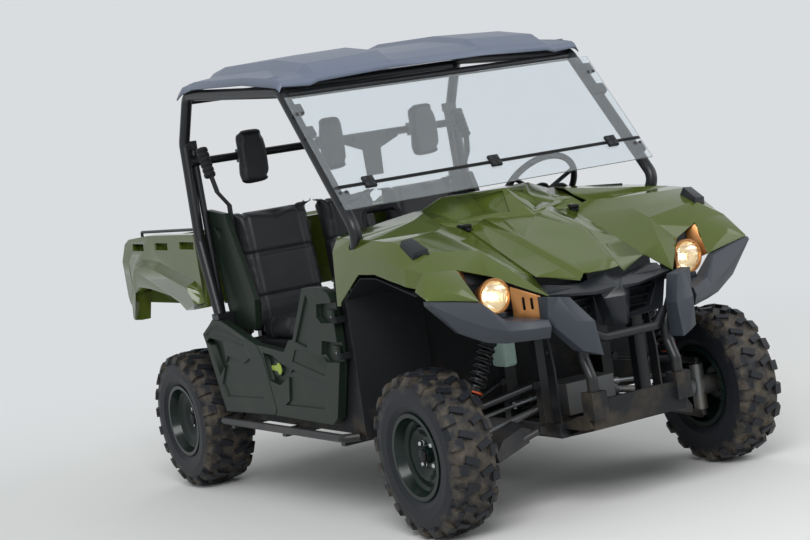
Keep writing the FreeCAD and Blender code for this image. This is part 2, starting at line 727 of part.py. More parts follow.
def front_tower():
    """Front shock tower with the plate that carries the nose panel and the brackets down to the rails."""
    half = RAIL_SIZE / 2
    front = NOSE_REAR_Y + SEAT_GAP
    pieces = shock_tower(FRONT_AXLE_Y)
    pieces.append(box(-RAIL_X - half, RAIL_X + half, front, FRONT_AXLE_Y - TOWER_REACH,
                      TOWER_PLATE_Z - POST_SIZE, TOWER_PLATE_Z))
    bracket = side_prism([(front, RAIL_TOP), (front, 560), (front + 26, TOWER_PLATE_Z - POST_SIZE),
                          (front + 50, TOWER_PLATE_Z - POST_SIZE), (front + 50, RAIL_TOP)], RAIL_X + 6, RAIL_X + 14)
    lightening = both(rod(vec(RAIL_X, front + 28, 620), vec(RAIL_X + 20, front + 28, 620), 9))
    return fuse(pieces + list(both(bracket).Solids)).cut(lightening)


def rear_tower():
    """Rear shock tower with the bed rails and the ears of the bed's hinge."""
    pieces = shock_tower(REAR_AXLE_Y)
    half = BED_RAIL_SIZE / 2
    rail = box(BED_RAIL_X - half, BED_RAIL_X + half, BED_FRONT_Y, FRAME_REAR_Y, BED_RAIL_TOP - 44, BED_RAIL_TOP)
    reach = half + BED_EAR_GAP + BED_EAR_WALL
    foot = box(BED_RAIL_X - reach, BED_RAIL_X + reach, BED_HINGE_Y - BED_EAR_RADIUS, BED_HINGE_Y + BED_EAR_RADIUS,
               BED_RAIL_TOP - 30, BED_RAIL_TOP)
    ears = []
    for x in (BED_RAIL_X - reach, BED_RAIL_X + reach - BED_EAR_WALL):
        ears.append(box(x, x + BED_EAR_WALL, BED_HINGE_Y - BED_EAR_RADIUS, BED_HINGE_Y + BED_EAR_RADIUS,
                        BED_RAIL_TOP - 5, BED_HINGE_Z))
        ears.append(Part.makeCylinder(BED_EAR_RADIUS, BED_EAR_WALL, vec(x, BED_HINGE_Y, BED_HINGE_Z), vec(1, 0, 0)))
    left = fuse([rail, foot] + ears + [bed_hinge_pin(BED_PIN_RADIUS)])
    return fuse(pieces + list(both(left).Solids))


def bed_hinge_pin(radius):
    """Left hinge pin of the cargo bed, through the ears on the bed rail."""
    reach = BED_RAIL_SIZE / 2 + BED_EAR_GAP + BED_EAR_WALL
    return rod(vec(BED_RAIL_X - reach, BED_HINGE_Y, BED_HINGE_Z), vec(BED_RAIL_X + reach, BED_HINGE_Y, BED_HINGE_Z),
               radius)


def skid_plate():
    """Belly pan under the rails, turned up at the nose to carry the bumper's uprights."""
    low = RAIL_BOTTOM - SKID_WALL
    belly = box(-RAIL_X - 20, RAIL_X + 20, FRAME_FRONT_Y, SEAT_BACK_Y, low, RAIL_BOTTOM)
    nose = side_prism([(FRAME_FRONT_Y, low), (FRAME_FRONT_Y, RAIL_BOTTOM), (-1470, 346), (-1490, 440),
                       (-1512, 440), (-1500, 330)], -215, 215)
    ears = []
    for side in (-1, 1):
        x = side * GUARD_TUBE_X
        ears.append(box(x - 34, x + 34, -1530, -1462, 372, 474))
        ears.append(box(x - 34, x + 34, -1500, -1330 + 20, 330, 380).common(
            side_prism([(-1330, 302), (-1330, 352), (-1480, 400), (-1500, 340)], x - 34, x + 34)))
    return fuse([belly, nose] + ears)


def steering_rack():
    """Rack housing on the frame with one tie rod to each steering arm."""
    y = FRONT_AXLE_Y + STEERING_ARM_LENGTH
    rack_end = vec(RACK_HALF_LENGTH, y, TIE_ROD_INNER_Z)
    rack = rod(mirrored_point(rack_end), rack_end, RACK_RADIUS)
    pieces = [rack]
    for flip in (False, True):
        end = vec(KINGPIN_X - 3, y, TIE_ROD_OUTER_Z)
        run = end.sub(rack_end).normalize()
        side = [
            rod(rack_end.sub(run * 6), end, TIE_ROD_RADIUS),
            Part.makeCylinder(13, 24, vec(end.x, end.y, end.z - 12)),
            rod(rack_end.sub(run * 6), rack_end.add(run * 70), RACK_RADIUS - 5),
        ]
        pieces += [mirrored(s) for s in side] if flip else side
    feet = [box(x - 14, x + 14, y - 12, y + 12, CROSS_TOP + SEAT_GAP, TIE_ROD_INNER_Z) for x in (-120, 120)]
    return fuse(pieces + feet)


def muffler():
    """Silencer can across the frame behind the engine, with its tail pipe."""
    y, z = MUFFLER_Y, MUFFLER_Z
    can = rod(vec(-195, y, z), vec(190, y, z), MUFFLER_RADIUS)
    tail = tube([vec(150, y, z), vec(240, y, z), vec(262, y + 175, z - 20)], 19, 40)
    inlet = rod(vec(-120, y, z), vec(-120, y - 320, z - 60), 22)
    return fuse([can, tail, inlet])


def engine():
    return box(-ENGINE_HALF_WIDTH, ENGINE_HALF_WIDTH, ENGINE_FRONT_Y, SEAT_BACK_Y - 12, CROSS_TOP + SEAT_GAP, ENGINE_TOP)


# Cab

def floor_tub():
    """Floor with sills, the firewall that carries the cowl, and the hinge posts, in one moulded piece."""
    low, high = RAIL_TOP, RAIL_TOP + FLOOR_WALL
    front = FIREWALL_Y - FIREWALL_WALL
    floor = box(-CAB_HALF_WIDTH, CAB_HALF_WIDTH, FIREWALL_Y, SEAT_BACK_Y + 20, low, high)
    hole = box(-200, 200, SEAT_FRONT_Y + 15, SEAT_BACK_Y + 60, low - 1, high + 1)
    crown = [(CAB_HALF_WIDTH, low), (CAB_HALF_WIDTH, 1154), (432, 1178), (330, 1184), (0, 1212)]
    firewall = front_prism(crown + [(-x, z) for x, z in crown[-2::-1]], front, FIREWALL_Y)
    toe = side_prism([(FIREWALL_Y, low), (FIREWALL_Y, 640), (FIREWALL_Y + 120, high)], -620, 620)
    pieces = [floor.cut(hole), firewall, toe]
    for side in (-1, 1):
        inner, outer = sorted((side * (CAB_HALF_WIDTH - SILL_WALL), side * CAB_HALF_WIDTH))
        pieces.append(side_prism([(front, low), (front, 1120), (-560, 1120), (-560, 930), (-520, 640), (-440, SILL_TOP),
                                  (SEAT_BACK_Y - 60, SILL_TOP), (SEAT_BACK_Y - 60, low)], inner, outer))
        inner, outer = sorted((side * CAB_HALF_WIDTH, side * (DOOR_INNER_X - SEAT_GAP)))
        pieces.append(box(inner, outer, SPLIT_KNEE[0] + 60, SEAT_BACK_Y - 90, SILL_TOP - 24, SILL_TOP))
        pieces += [mirrored(p) for p in door_hinge_posts()] if side < 0 else door_hinge_posts()
    notch = both(box(CAGE_POST_X0 - 2, CAB_HALF_WIDTH + 1, OUTRIGGER_Y[2] - 19, SEAT_BACK_Y + 21, low - 1, high + 1))
    return fuse(pieces).cut(notch)


def door_hinge_posts():
    """Bracket, lower knuckle and pin of each hinge of the left door."""
    pieces = []
    for z in DOOR_HINGE_Z:
        pieces.append(box(CAB_HALF_WIDTH - 2, DOOR_HINGE_X, DOOR_HINGE_Y - 14, DOOR_HINGE_Y - 4,
                          z - DOOR_KNUCKLE_HEIGHT, z - SEAT_GAP))
        base = vec(DOOR_HINGE_X, DOOR_HINGE_Y, z - DOOR_KNUCKLE_HEIGHT)
        pieces.append(Part.makeCylinder(DOOR_KNUCKLE_RADIUS, DOOR_KNUCKLE_HEIGHT - SEAT_GAP, base))
        pieces.append(Part.makeCylinder(DOOR_PIN_RADIUS, 2 * DOOR_KNUCKLE_HEIGHT + 4, base))
    return pieces


def seat_base():
    """Moulded box under the bench, open below over the engine."""
    low = RAIL_TOP + FLOOR_WALL
    wall = SEAT_BASE_WALL
    outer = side_prism([(SEAT_FRONT_Y, low), (SEAT_FRONT_Y + 20, SEAT_TOP_Z), (SEAT_BACK_Y, SEAT_TOP_Z),
                        (SEAT_BACK_Y, low)], -SEAT_BASE_HALF, SEAT_BASE_HALF)
    inner = side_prism([(SEAT_FRONT_Y + wall, low - 1), (SEAT_FRONT_Y + 20 + wall, SEAT_TOP_Z - wall),
                        (SEAT_BACK_Y - wall, SEAT_TOP_Z - wall), (SEAT_BACK_Y - wall, low - 1)],
                       -SEAT_BASE_HALF + wall, SEAT_BASE_HALF - wall)
    return outer.cut(inner)


def seat_pads():
    """One cushion and one back for each of the three places."""
    pads = []
    bottom = SEAT_TOP_Z + SOFT_GAP
    for _, x, width in SEATS:
        half = width / 2
        cushion = side_prism([(SEAT_FRONT_Y, bottom), (SEAT_FRONT_Y - 12, bottom + CUSHION_HEIGHT - 20),
                              (SEAT_FRONT_Y + 30, bottom + CUSHION_HEIGHT),
                              (SEAT_BACK_Y - 120, bottom + CUSHION_HEIGHT - 18), (SEAT_BACK_Y - 110, bottom)],
                             x - half, x + half)
        foot = SEAT_BACK_Y - 104
        back = side_prism([(foot, bottom), (foot + BACK_LEAN, BACK_TOP_Z - 20),
                           (foot + BACK_LEAN + 20, BACK_TOP_Z), (foot + BACK_LEAN + BACK_WALL - 30, BACK_TOP_Z - 10),
                           (foot + BACK_WALL - 4, bottom)], x - half, x + half)
        pads += [cushion, back]
    return Part.makeCompound(pads)


def headrest_pads():
    """Three head cushions on the cross bar: a wide one at each end and a narrower one for the middle place."""
    pads = []
    for x, half in HEADRESTS:
        outline = [(x - half, HEADREST_LOW + 30), (x - half + 16, HEADREST_LOW), (x + half - 16, HEADREST_LOW),
                   (x + half, HEADREST_LOW + 30), (x + half - 4, HEADREST_HIGH - 34), (x + half - 22, HEADREST_HIGH),
                   (x - half + 22, HEADREST_HIGH), (x - half + 4, HEADREST_HIGH - 34)]
        pads.append(front_prism(outline, HEADREST_Y - HEADREST_WALL, HEADREST_Y - SOFT_GAP))
    return Part.makeCompound(pads)


def cage_loop(radius):
    """Left side of the cage: up from the frame, along the roof and down to the seat side."""
    return tube([
        vec(CAGE_FOOT_X, CAGE_FOOT_Y, RAIL_TOP + SEAT_GAP),
        vec(CAGE_FOOT_X + 12, CAGE_FOOT_Y, 985),
        vec(CAGE_X, -838, 1160),
        vec(CAGE_X - 10, -362, 1738),
        vec(CAGE_X - 14, 560, 1800),
        vec(CAGE_X - 12, 668, 1592),
        vec(CAGE_X - 2, 640, 1150),
        vec(CAGE_X, CAGE_REAR_FOOT_Y, 822),
    ], radius, CAGE_BEND_RADIUS)


def roll_cage():
    """Side loops, roof rails and cross tubes, with the headrest bar, its plates and the belt bracket."""
    r = CAGE_TUBE_RADIUS
    pieces = []
    for flip in (False, True):
        side = [
            cage_loop(r),
            rod(vec(STRUT_X, 612, 752), vec(STRUT_X, 660, 1600), STRUT_RADIUS),
            box(STRUT_X - 14, CAGE_X - 8, 640, 676, 1560, 1600),
            box(CAGE_POST_X0, CAGE_X + 20, 522, 588, QUARTER_PAD_Z, QUARTER_PAD_Z + 25),
            box(STRUT_X - 12, STRUT_X + 12, BOOT_BRACKET_Y, 660, 1500, 1536),
        ]
        pieces += [mirrored(s) for s in side] if flip else side
    pieces.append(rod(vec(-CAGE_CROSS_X, 574, 1780), vec(CAGE_CROSS_X, 574, 1780), r - 4))
    pieces.append(rod(vec(-CAGE_CROSS_X, -372, 1722), vec(CAGE_CROSS_X, -372, 1722), r - 6))
    pieces.append(rod(vec(-CAGE_CROSS_X, HEADREST_BAR_Y, HEADREST_BAR_Z),
                      vec(CAGE_CROSS_X, HEADREST_BAR_Y, HEADREST_BAR_Z), HEADREST_BAR_RADIUS))
    for x, _ in HEADRESTS:
        pieces.append(box(x - 26, x + 26, HEADREST_Y, HEADREST_BAR_Y, HEADREST_BAR_Z - 30, HEADREST_BAR_Z + 30))
    x = BELT_BRACKET_X
    bracket = [(x - 44, 1317), (x + 44, 1317), (x + 48, 1440), (x + 150, 1482), (x + 140, 1520), (x - 140, 1520),
               (x - 150, 1482), (x - 48, 1440)]
    plate = front_prism(bracket, HEADREST_BAR_Y - 22, HEADREST_BAR_Y - 15)
    for hole_x in (x - 90, x + 90):
        plate = plate.cut(rod(vec(hole_x, HEADREST_BAR_Y - 30, 1498), vec(hole_x, HEADREST_BAR_Y, 1498), 9))
    return fuse(pieces + [plate])


# y of the row in the middle, how far its ends sweep back, z of the rim's foot and top, z of the shallow middle,
# z of the raised side panels
ROOF_STATIONS = (
    (-442.0, 42.0, 1738.0, 1758.0, 1775.0, 1775.0),
    (-438.0, 42.0, 1744.0, 1774.0, 1794.0, 1796.0),
    (-418.0, 40.0, 1754.0, 1786.0, 1806.0, 1812.0),
    (-330.0, 26.0, 1766.0, 1800.0, 1838.0, 1856.0),
    (-60.0, 0.0, 1796.0, 1826.0, 1876.0, 1896.0),
    (430.0, 0.0, 1820.0, 1850.0, 1892.0, 1912.0),
    (560.0, 0.0, 1806.0, 1838.0, 1884.0, 1896.0),
    (610.0, 0.0, 1788.0, 1812.0, 1872.0, 1872.0),
)


def roof():
    """Moulded roof: a shallow middle, a raised panel along each side, a deep front lip and a turned-down rim."""
    half = ROOF_HALF_WIDTH
    rows = []
    for y, sweep, foot_z, rim_z, middle_z, panel_z in ROOF_STATIONS:
        profile = [(0, middle_z), (ROOF_PANEL_INNER - 26, middle_z), (ROOF_PANEL_INNER, panel_z),
                   (ROOF_PANEL_OUTER, panel_z - 14), (ROOF_PANEL_OUTER + 40, (rim_z + panel_z) / 2 - 18),
                   (half - 14, rim_z), (half, foot_z)]
        rows.append([(x, y + sweep * (x / half) ** 2, z) for x, z in profile])
    skin_solid = sheet([mirrored_rows(rows)], ROOF_WALL)
    pads = []
    for y, top in ((-300.0, 1804.0), (470.0, 1848.0)):
        for side in (-1, 1):
            x0, x1 = sorted((side * (CAGE_X - 26), side * (CAGE_X - 2)))
            pads.append(box(x0, x1, y - 20, y + 20, top - 50, top))
    return fuse([skin_solid] + pads).cut(roll_cage())


def along_pane(distance, out=0.0):
    """Point (y, z) on the panes' outer plane, at a distance up from the hinge line."""
    lean = math.radians(PANE_LEAN)
    y = PANE_HINGE_Y + distance * math.sin(lean) - out * math.cos(lean)
    z = PANE_HINGE_Z + distance * math.cos(lean) + out * math.sin(lean)
    return y, z


def windshield_panes():
    """Fixed lower strip and folding upper pane, with a seam along the hinge line."""
    gap = PANE_GAP / 2
    lower = [along_pane(-LOWER_PANE_LENGTH), along_pane(-gap), along_pane(-gap, -PANE_WALL),
             along_pane(-LOWER_PANE_LENGTH, -PANE_WALL)]
    upper = [along_pane(gap), along_pane(UPPER_PANE_LENGTH), along_pane(UPPER_PANE_LENGTH, -PANE_WALL),
             along_pane(gap, -PANE_WALL)]
    return Part.makeCompound([side_prism(o, -PANE_HALF_WIDTH, PANE_HALF_WIDTH) for o in (lower, upper)])


def windshield_clamps():
    """Three hinges on the seam and three clamp blocks to each pillar."""
    cage = roll_cage()
    pieces = []
    for x in (-PANE_HINGE_X, 0.0, PANE_HINGE_X):
        knuckle_block = [along_pane(-26, 0.2), along_pane(26, 0.2), along_pane(26, 12), along_pane(-26, 12)]
        pieces.append(side_prism(knuckle_block, x - 24, x + 24))
    for side in (-1, 1):
        for distance in (-42.0, 300.0, 420.0):
            block = [along_pane(distance - 22, -PANE_WALL - 0.2), along_pane(distance + 22, -PANE_WALL - 0.2),
                     along_pane(distance + 22, -30), along_pane(distance - 22, -30)]
            x0, x1 = sorted((side * (CAGE_X - 34), side * (CAGE_X + 16)))
            pieces.append(side_prism(block, x0, x1).cut(cage))
    return Part.makeCompound(pieces)


def dashboard():
    """Dash moulding, steering column and passenger grab bar."""
    shell = side_prism([(FIREWALL_Y + 0.2, 900), (FIREWALL_Y + 0.2, 1118), (-600, 1150), (-500, 1138), (-470, 1060),
                        (-520, 900)], -640, 640)
    tray = side_prism([(-600, 930), (-600, 1100), (-490, 1100), (-540, 930)], -560, -120)
    lean = math.radians(COLUMN_TILT)
    hub = vec(STEERING_WHEEL_X, STEERING_WHEEL_Y, STEERING_WHEEL_Z)
    down = vec(0, -math.cos(lean), -math.sin(lean))
    column = rod(hub.add(down * COLUMN_GAP), hub.add(down * 110), 24)
    bar = tube([vec(-470, -490, 1120), vec(-470, -440, 1215), vec(-300, -430, 1215), vec(-300, -490, 1120)], 12, 30)
    return fuse([shell.cut(tray), column, bar])


def steering_wheel():
    """Rim, three spokes and hub pad, square to the column."""
    lean = math.radians(COLUMN_TILT)
    hub = vec(STEERING_WHEEL_X, STEERING_WHEEL_Y, STEERING_WHEEL_Z)
    axis = vec(0, math.cos(lean), math.sin(lean))
    rim_ring = Part.makeTorus(STEERING_WHEEL_RADIUS, 14, hub.add(axis * 40), axis)
    boss = Part.makeCylinder(34, 24 + COLUMN_GAP, hub.sub(axis * (COLUMN_GAP - SEAT_GAP)), axis)
    pieces = [rim_ring, boss]
    across = vec(1, 0, 0)
    upward = axis.cross(across)
    for angle in (90.0, 210.0, 330.0):
        reach = across * math.cos(math.radians(angle)) + upward * math.sin(math.radians(angle))
        pieces.append(rod(hub.add(axis * 10), hub.add(axis * 40).add(reach * STEERING_WHEEL_RADIUS), 9))
    return fuse(pieces)


def side_shields():
    outline = [(655, 1285), (478, 1262), (296, 880), (330, 745), (552, 745), (575, 820), (655, 1215)]
    shield = side_prism(outline, SHIELD_INNER_X, SHIELD_INNER_X + SHIELD_WALL)
    grip = side_prism([(600, 1205), (520, 1195), (560, 1150)], SHIELD_INNER_X + SHIELD_WALL - 12,
                      SHIELD_INNER_X + SHIELD_WALL + 1)
    return both(shield.cut(grip))


def door():
    """Half door: a deep moulding with a pillar recess, hinge pockets, a latch pocket and a panelled foot."""
    front = DOOR_HINGE_Y + DOOR_KNUCKLE_RADIUS + DOOR_FRONT_GAP
    outline = [(front, 900), (front + 20, 930), (front + 88, 950), (-338, 948), (-184, 734), (-142, 727), (-82, 677),
               (SPLIT_TOP[0] - DOOR_GAP, SPLIT_TOP[1]), (SPLIT_KNEE[0] - DOOR_GAP, SPLIT_KNEE[1]),
               (SPLIT_LOW[0] - DOOR_GAP, SPLIT_LOW[1]), (88, 398), (-436, 390), (-482, 422), (front, 656)]
    inner, outer = DOOR_INNER_X, DOOR_INNER_X + DOOR_WALL
    slab = side_prism(outline, inner, outer)
    cuts = (
        (DOOR_RELIEF, [(-362, 922), (-392, 878), (-306, 702), (-206, 724)]),
        (DOOR_RELIEF, [(-141, 605), (-427, 559), (-381, 452), (-24, 449), (-68, 468), (-98, 573)]),
        (HINGE_POCKET, [(-446, 884), (-600, 892), (-600, 812), (-463, 806), (-431, 830)]),
        (HINGE_POCKET, [(-445, 735), (-600, 731), (-600, 652), (-455, 648), (-425, 676)]),
        (LATCH_POCKET, [(122, 668), (33, 659), (-52, 623), (-122, 612), (-120, 580), (1, 532), (92, 548)]),
    )
    for depth, recess in cuts:
        slab = slab.cut(side_prism(recess, outer - depth, outer + 1))
    lever = side_prism([(-6, 628), (40, 640), (70, 612), (64, 570), (10, 566), (-14, 590)], outer - LATCH_POCKET - 1,
                       outer - LATCH_POCKET + 9)
    step = side_prism([(-150, 640), (-430, 590), (-470, 660), (-300, 690), (-190, 690)], outer - 4, outer + 1)
    slab = fuse([slab.cut(step), lever])
    knuckles = []
    for z in DOOR_HINGE_Z:
        leaf = box(DOOR_HINGE_X - 14, DOOR_HINGE_X - 4, DOOR_HINGE_Y, front + 6, z + SEAT_GAP, z + DOOR_KNUCKLE_HEIGHT)
        plate = box(outer - HINGE_POCKET - 1, outer - HINGE_POCKET + 7, front, front + 70, z - 12,
                    z + DOOR_KNUCKLE_HEIGHT)
        base = vec(DOOR_HINGE_X, DOOR_HINGE_Y, z + SEAT_GAP)
        barrel = Part.makeCylinder(DOOR_KNUCKLE_RADIUS, DOOR_KNUCKLE_HEIGHT - SEAT_GAP, base)
        bore = Part.makeCylinder(DOOR_PIN_RADIUS + SEAT_GAP, DOOR_KNUCKLE_HEIGHT + 1, base)
        web = box(outer - HINGE_POCKET - 1, DOOR_HINGE_X - 4, front, front + 6, z + SEAT_GAP, z + DOOR_KNUCKLE_HEIGHT)
        knuckles.append(fuse([leaf, web, plate, barrel]).cut(bore))
    return fuse([slab] + knuckles)


def quarter_panel():
    """Moulding behind the door: an air intake pocket, a stepped face and a panelled foot."""
    outline = [SPLIT_LOW, SPLIT_KNEE, SPLIT_TOP, (300, 735), (453, 783), (520, 799), (600, 800), (638, 777),
               (723, 733), (704, 692), (628, 480), (589, 384), (96, 398)]
    inner, outer = DOOR_INNER_X, DOOR_INNER_X + DOOR_WALL
    slab = side_prism(outline, inner, outer)
    cuts = (
        (INTAKE_DEPTH, [(694, 697), (660, 716), (516, 703), (513, 604), (603, 547), (656, 684)]),
        (DOOR_RELIEF, [(491, 640), (325, 612), (270, 636), (248, 628), (176, 466), (560, 456), (590, 510)]),
        (4.0, [(690, 728), (606, 766), (530, 776), (300, 712), (300, 690), (500, 722), (655, 732)]),
    )
    for depth, recess in cuts:
        slab = slab.cut(side_prism(recess, outer - depth, outer + 1))
    return slab


def strap(points, width, wall):
    """Flat webbing along a line of points, its width along Y."""
    rings = []
    for x, y, z in points:
        rings.append([(x - wall / 2, y - width / 2, z), (x + wall / 2, y - width / 2, z),
                      (x + wall / 2, y + width / 2, z), (x - wall / 2, y + width / 2, z)])
    return ring_loft(rings)


def step_bar():
    x = STEP_BAR_X
    z = STEP_BAR_Z
    return tube([vec(700, -580, z), vec(x, -540, z), vec(x, 590, z), vec(700, 630, z)], STEP_BAR_RADIUS, 30)


def belts():
    """Ribbed retractor boots at the cage, each with its webbing down to the seat base."""
    top = vec(STRUT_X, BOOT_BRACKET_Y - 2, 1560)
    foot = vec(STRUT_X, BOOT_BRACKET_Y - 52, 1430)
    length = foot.sub(top).Length
    profile = []
    pitch = length / BOOT_RIBS
    for rib in range(BOOT_RIBS):
        profile += [(rib * pitch, BOOT_RADIUS - 4), (rib * pitch + pitch * 0.2, BOOT_RADIUS),
                    (rib * pitch + pitch * 0.7, BOOT_RADIUS), (rib * pitch + pitch * 0.9, BOOT_RADIUS - 4)]
    boot = spindle(top, foot, profile)
    side = SHIELD_INNER_X - 12
    webbing = strap([(STRUT_X, foot.y - 4, foot.z + 14), (STRUT_X - 14, foot.y - 16, 1360), (side, foot.y - 30, 1296),
                     (side - 4, 500, 900), (side - 6, 505, SEAT_TOP_Z + SEAT_GAP)], BELT_WIDTH, BELT_WALL)
    return both(fuse([boot.cut(roll_cage()), webbing]))


# Front body

def seam_z(y):
    """Height of the hood seam, and of the flank's foot beside it."""
    return HOOD_SEAM_FRONT_Z + HOOD_SLOPE * (y - HOOD_SEAM_FRONT_Y)


# y, crest x, crest z, outer crest's inset from the body's side, its z, crease's inset, its z, foot z
FENDER_STATIONS = (
    (-645.0, 432.0, 1180.0, 44.0, 1146.0, 14.0, 1092.0, 880.0),
    (-780.0, 428.0, 1166.0, 36.0, 1138.0, 12.0, 1084.0, 880.0),
    (-930.0, 420.0, 1120.0, 40.0, 1128.0, 10.0, 1066.0, 880.0),
    (-1071.0, 411.0, 1076.0, 48.0, 1117.0, 12.0, 1044.0, 880.0),
    (-1181.0, 400.0, 1037.0, 112.0, 1068.0, 20.0, 1024.0, 880.0),
)
LAMP_BROW_INNER = (440.0, -1289.0, 947.0)
LAMP_BROW_OUTER = (560.0, -1260.0, 990.0)
LAMP_OUTER_LOW = (534.0, -1345.0, 858.0)
FENDER_TIP = (288.0, -1434.0, 846.0)
SEAM_CORNER = (HOOD_SEAM_X + 8.0, -1318.0, 906.0)
BLADE_RIDGE = (352.0, -1290.0, 958.0)
FLANK_CREASE = (BODY_HALF_WIDTH - 44.0, -1262.0, 1002.0)
FLANK_CREASE_TIP = (BODY_HALF_WIDTH - 98.0, -1330.0, 928.0)
FLANK_TIP = (BODY_HALF_WIDTH - 10.0, -1338.0, 906.0)
ARCH = ((-1500, 700), (-1500, 926), (-1363, 917), (-966, 1003), (-840, 1003), (-676, 894), (-656, 700))


def front_fender():
    """Moulded fender: the blade beside the hood, the brow over the headlight and the creased flank over the wheel."""
    seam_foot = HOOD_SEAM_X + SEAM / 2
    ledge_x = HOOD_SEAM_X - SEAM_LEDGE
    rows = []
    for y, crest_x, crest_z, outer_inset, outer_z, crease_inset, crease_z, foot_z in FENDER_STATIONS:
        ledge_z = seam_z(y) - SEAM_LEDGE_DROP
        crest = (crest_x, y, crest_z)
        rows.append([(ledge_x, y, ledge_z), (seam_foot, y, ledge_z), crest, crest,
                     (BODY_HALF_WIDTH - outer_inset, y, outer_z), (BODY_HALF_WIDTH - crease_inset, y, crease_z),
                     (BODY_HALF_WIDTH, y, foot_z)])
    y = BLADE_RIDGE[1]
    ledge_z = seam_z(y) - SEAM_LEDGE_DROP
    brow = [(ledge_x, y, ledge_z), (seam_foot, y, ledge_z), BLADE_RIDGE, LAMP_BROW_INNER, LAMP_BROW_OUTER,
            FLANK_CREASE, (BODY_HALF_WIDTH, FLANK_CREASE[1], 880.0)]
    rows.append(brow)
    blade = [brow[1:4], [SEAM_CORNER, FENDER_TIP, FENDER_TIP]]
    flank = [brow[4:7], [LAMP_OUTER_LOW, FLANK_CREASE_TIP, FLANK_TIP]]
    panel = sheet([[row[::-1] for row in patch] for patch in (rows, blade, flank)], BODY_WALL)
    arch = side_prism(list(ARCH), BODY_HALF_WIDTH - 250, BODY_HALF_WIDTH + 50)
    scoop = box(0, SCOOP_HALF + SEAM, HOOD_REAR_Y + 4, FIREWALL_Y + 40, 900, 1300)
    return largest(panel.cut(arch).cut(scoop).cut(cage_loop(CAGE_TUBE_RADIUS + 3)).cut(bumper_wing()))


# y in the middle, middle z, crest x, crest z, height of the ridge's outer foot below it, y at the seam
HOOD_STATIONS = (
    (-1386.0, 898.0, 82.0, 898.0, 18.0, -1311.0),
    (-1311.0, 936.0, 100.0, 936.0, 14.0, -1250.0),
    (-1200.0, 990.0, 124.0, 990.0, 15.0, -1160.0),
    (-1090.0, 1048.0, 150.0, 1048.0, 16.0, -1060.0),
)


def hood():
    """Lid between the fenders: a dished middle between two ridges, and a notch behind for the scoop's prow."""
    edge = HOOD_SEAM_X - SEAM / 2
    rows = []
    for y, middle_z, crest_x, crest_z, drop, seam_y in HOOD_STATIONS:
        lead = (seam_y - y) * RIDGE_LEAD
        rows.append([(0, y, middle_z - 4), (crest_x - RIDGE_WIDTH, y + lead * 0.4, middle_z - 2),
                     (crest_x, y + lead, crest_z), (crest_x + RIDGE_WIDTH, y + lead * 2, crest_z - drop),
                     (edge, seam_y, seam_z(seam_y) + 2)])
    nose = SCOOP_NOSE_Y - SEAM - 1
    rear = HOOD_REAR_Y
    corner_x = PROW_SLOPE * (rear - nose)
    rows.append([(0, nose, 1110), (corner_x * 0.62, nose + (rear - nose) * 0.62, 1120), (corner_x, rear, 1128),
                 (corner_x + 26, rear, 1112), (edge, rear, seam_z(rear) + 2)])
    return sheet([mirrored_rows(rows)], BODY_WALL)


def cowl():
    """Fixed panel under the windshield with the scoop's prow in its middle, a recess in each flank."""
    rear = FIREWALL_Y - FIREWALL_WALL - SEAT_GAP
    edge = rear - EDGE_SETBACK
    front = HOOD_REAR_Y + SEAM
    base_rows = [
        [(0, front, 1108), (SCOOP_HALF, front, seam_z(front) + 2)],
        [(0, -780, 1140), (SCOOP_HALF, -780, 1144)],
        [(0, edge, 1190), (SCOOP_HALF, edge, 1190)],
    ]
    base = sheet([mirrored_rows(base_rows)], BODY_WALL)
    nose = SCOOP_NOSE_Y
    knee_x = PROW_SLOPE * (SCOOP_KNEE_Y - nose)
    top = [(0, SCOOP_TOP_Y, 1230), (SCOOP_TOP_HALF, -651, 1228), (SCOOP_TOP_HALF, rear, 1228),
           (-SCOOP_TOP_HALF, rear, 1228), (-SCOOP_TOP_HALF, -651, 1228)]
    foot = [(0, nose, 1100), (knee_x, SCOOP_KNEE_Y, 1100), (SCOOP_HALF, rear, 1100), (-SCOOP_HALF, rear, 1100),
            (-knee_x, SCOOP_KNEE_Y, 1100)]
    lip = [(0, nose, 1118), (knee_x, SCOOP_KNEE_Y, 1132), (SCOOP_HALF, rear, 1180), (-SCOOP_HALF, rear, 1180),
           (-knee_x, SCOOP_KNEE_Y, 1132)]
    prow = ring_loft([foot, lip, top])
    recess = [(17, -802, 1222), (124, -743, 1210), (140, -828, 1145), (60, -900, 1135)]
    rings = []
    for depth in (RECESS_DEPTH, -40.0):
        rings.append([(x - FLANK_NORMAL[0] * depth, y - FLANK_NORMAL[1] * depth, z - FLANK_NORMAL[2] * depth)
                      for x, y, z in recess])
    return fuse([base, prow]).cut(both(ring_loft(rings)))


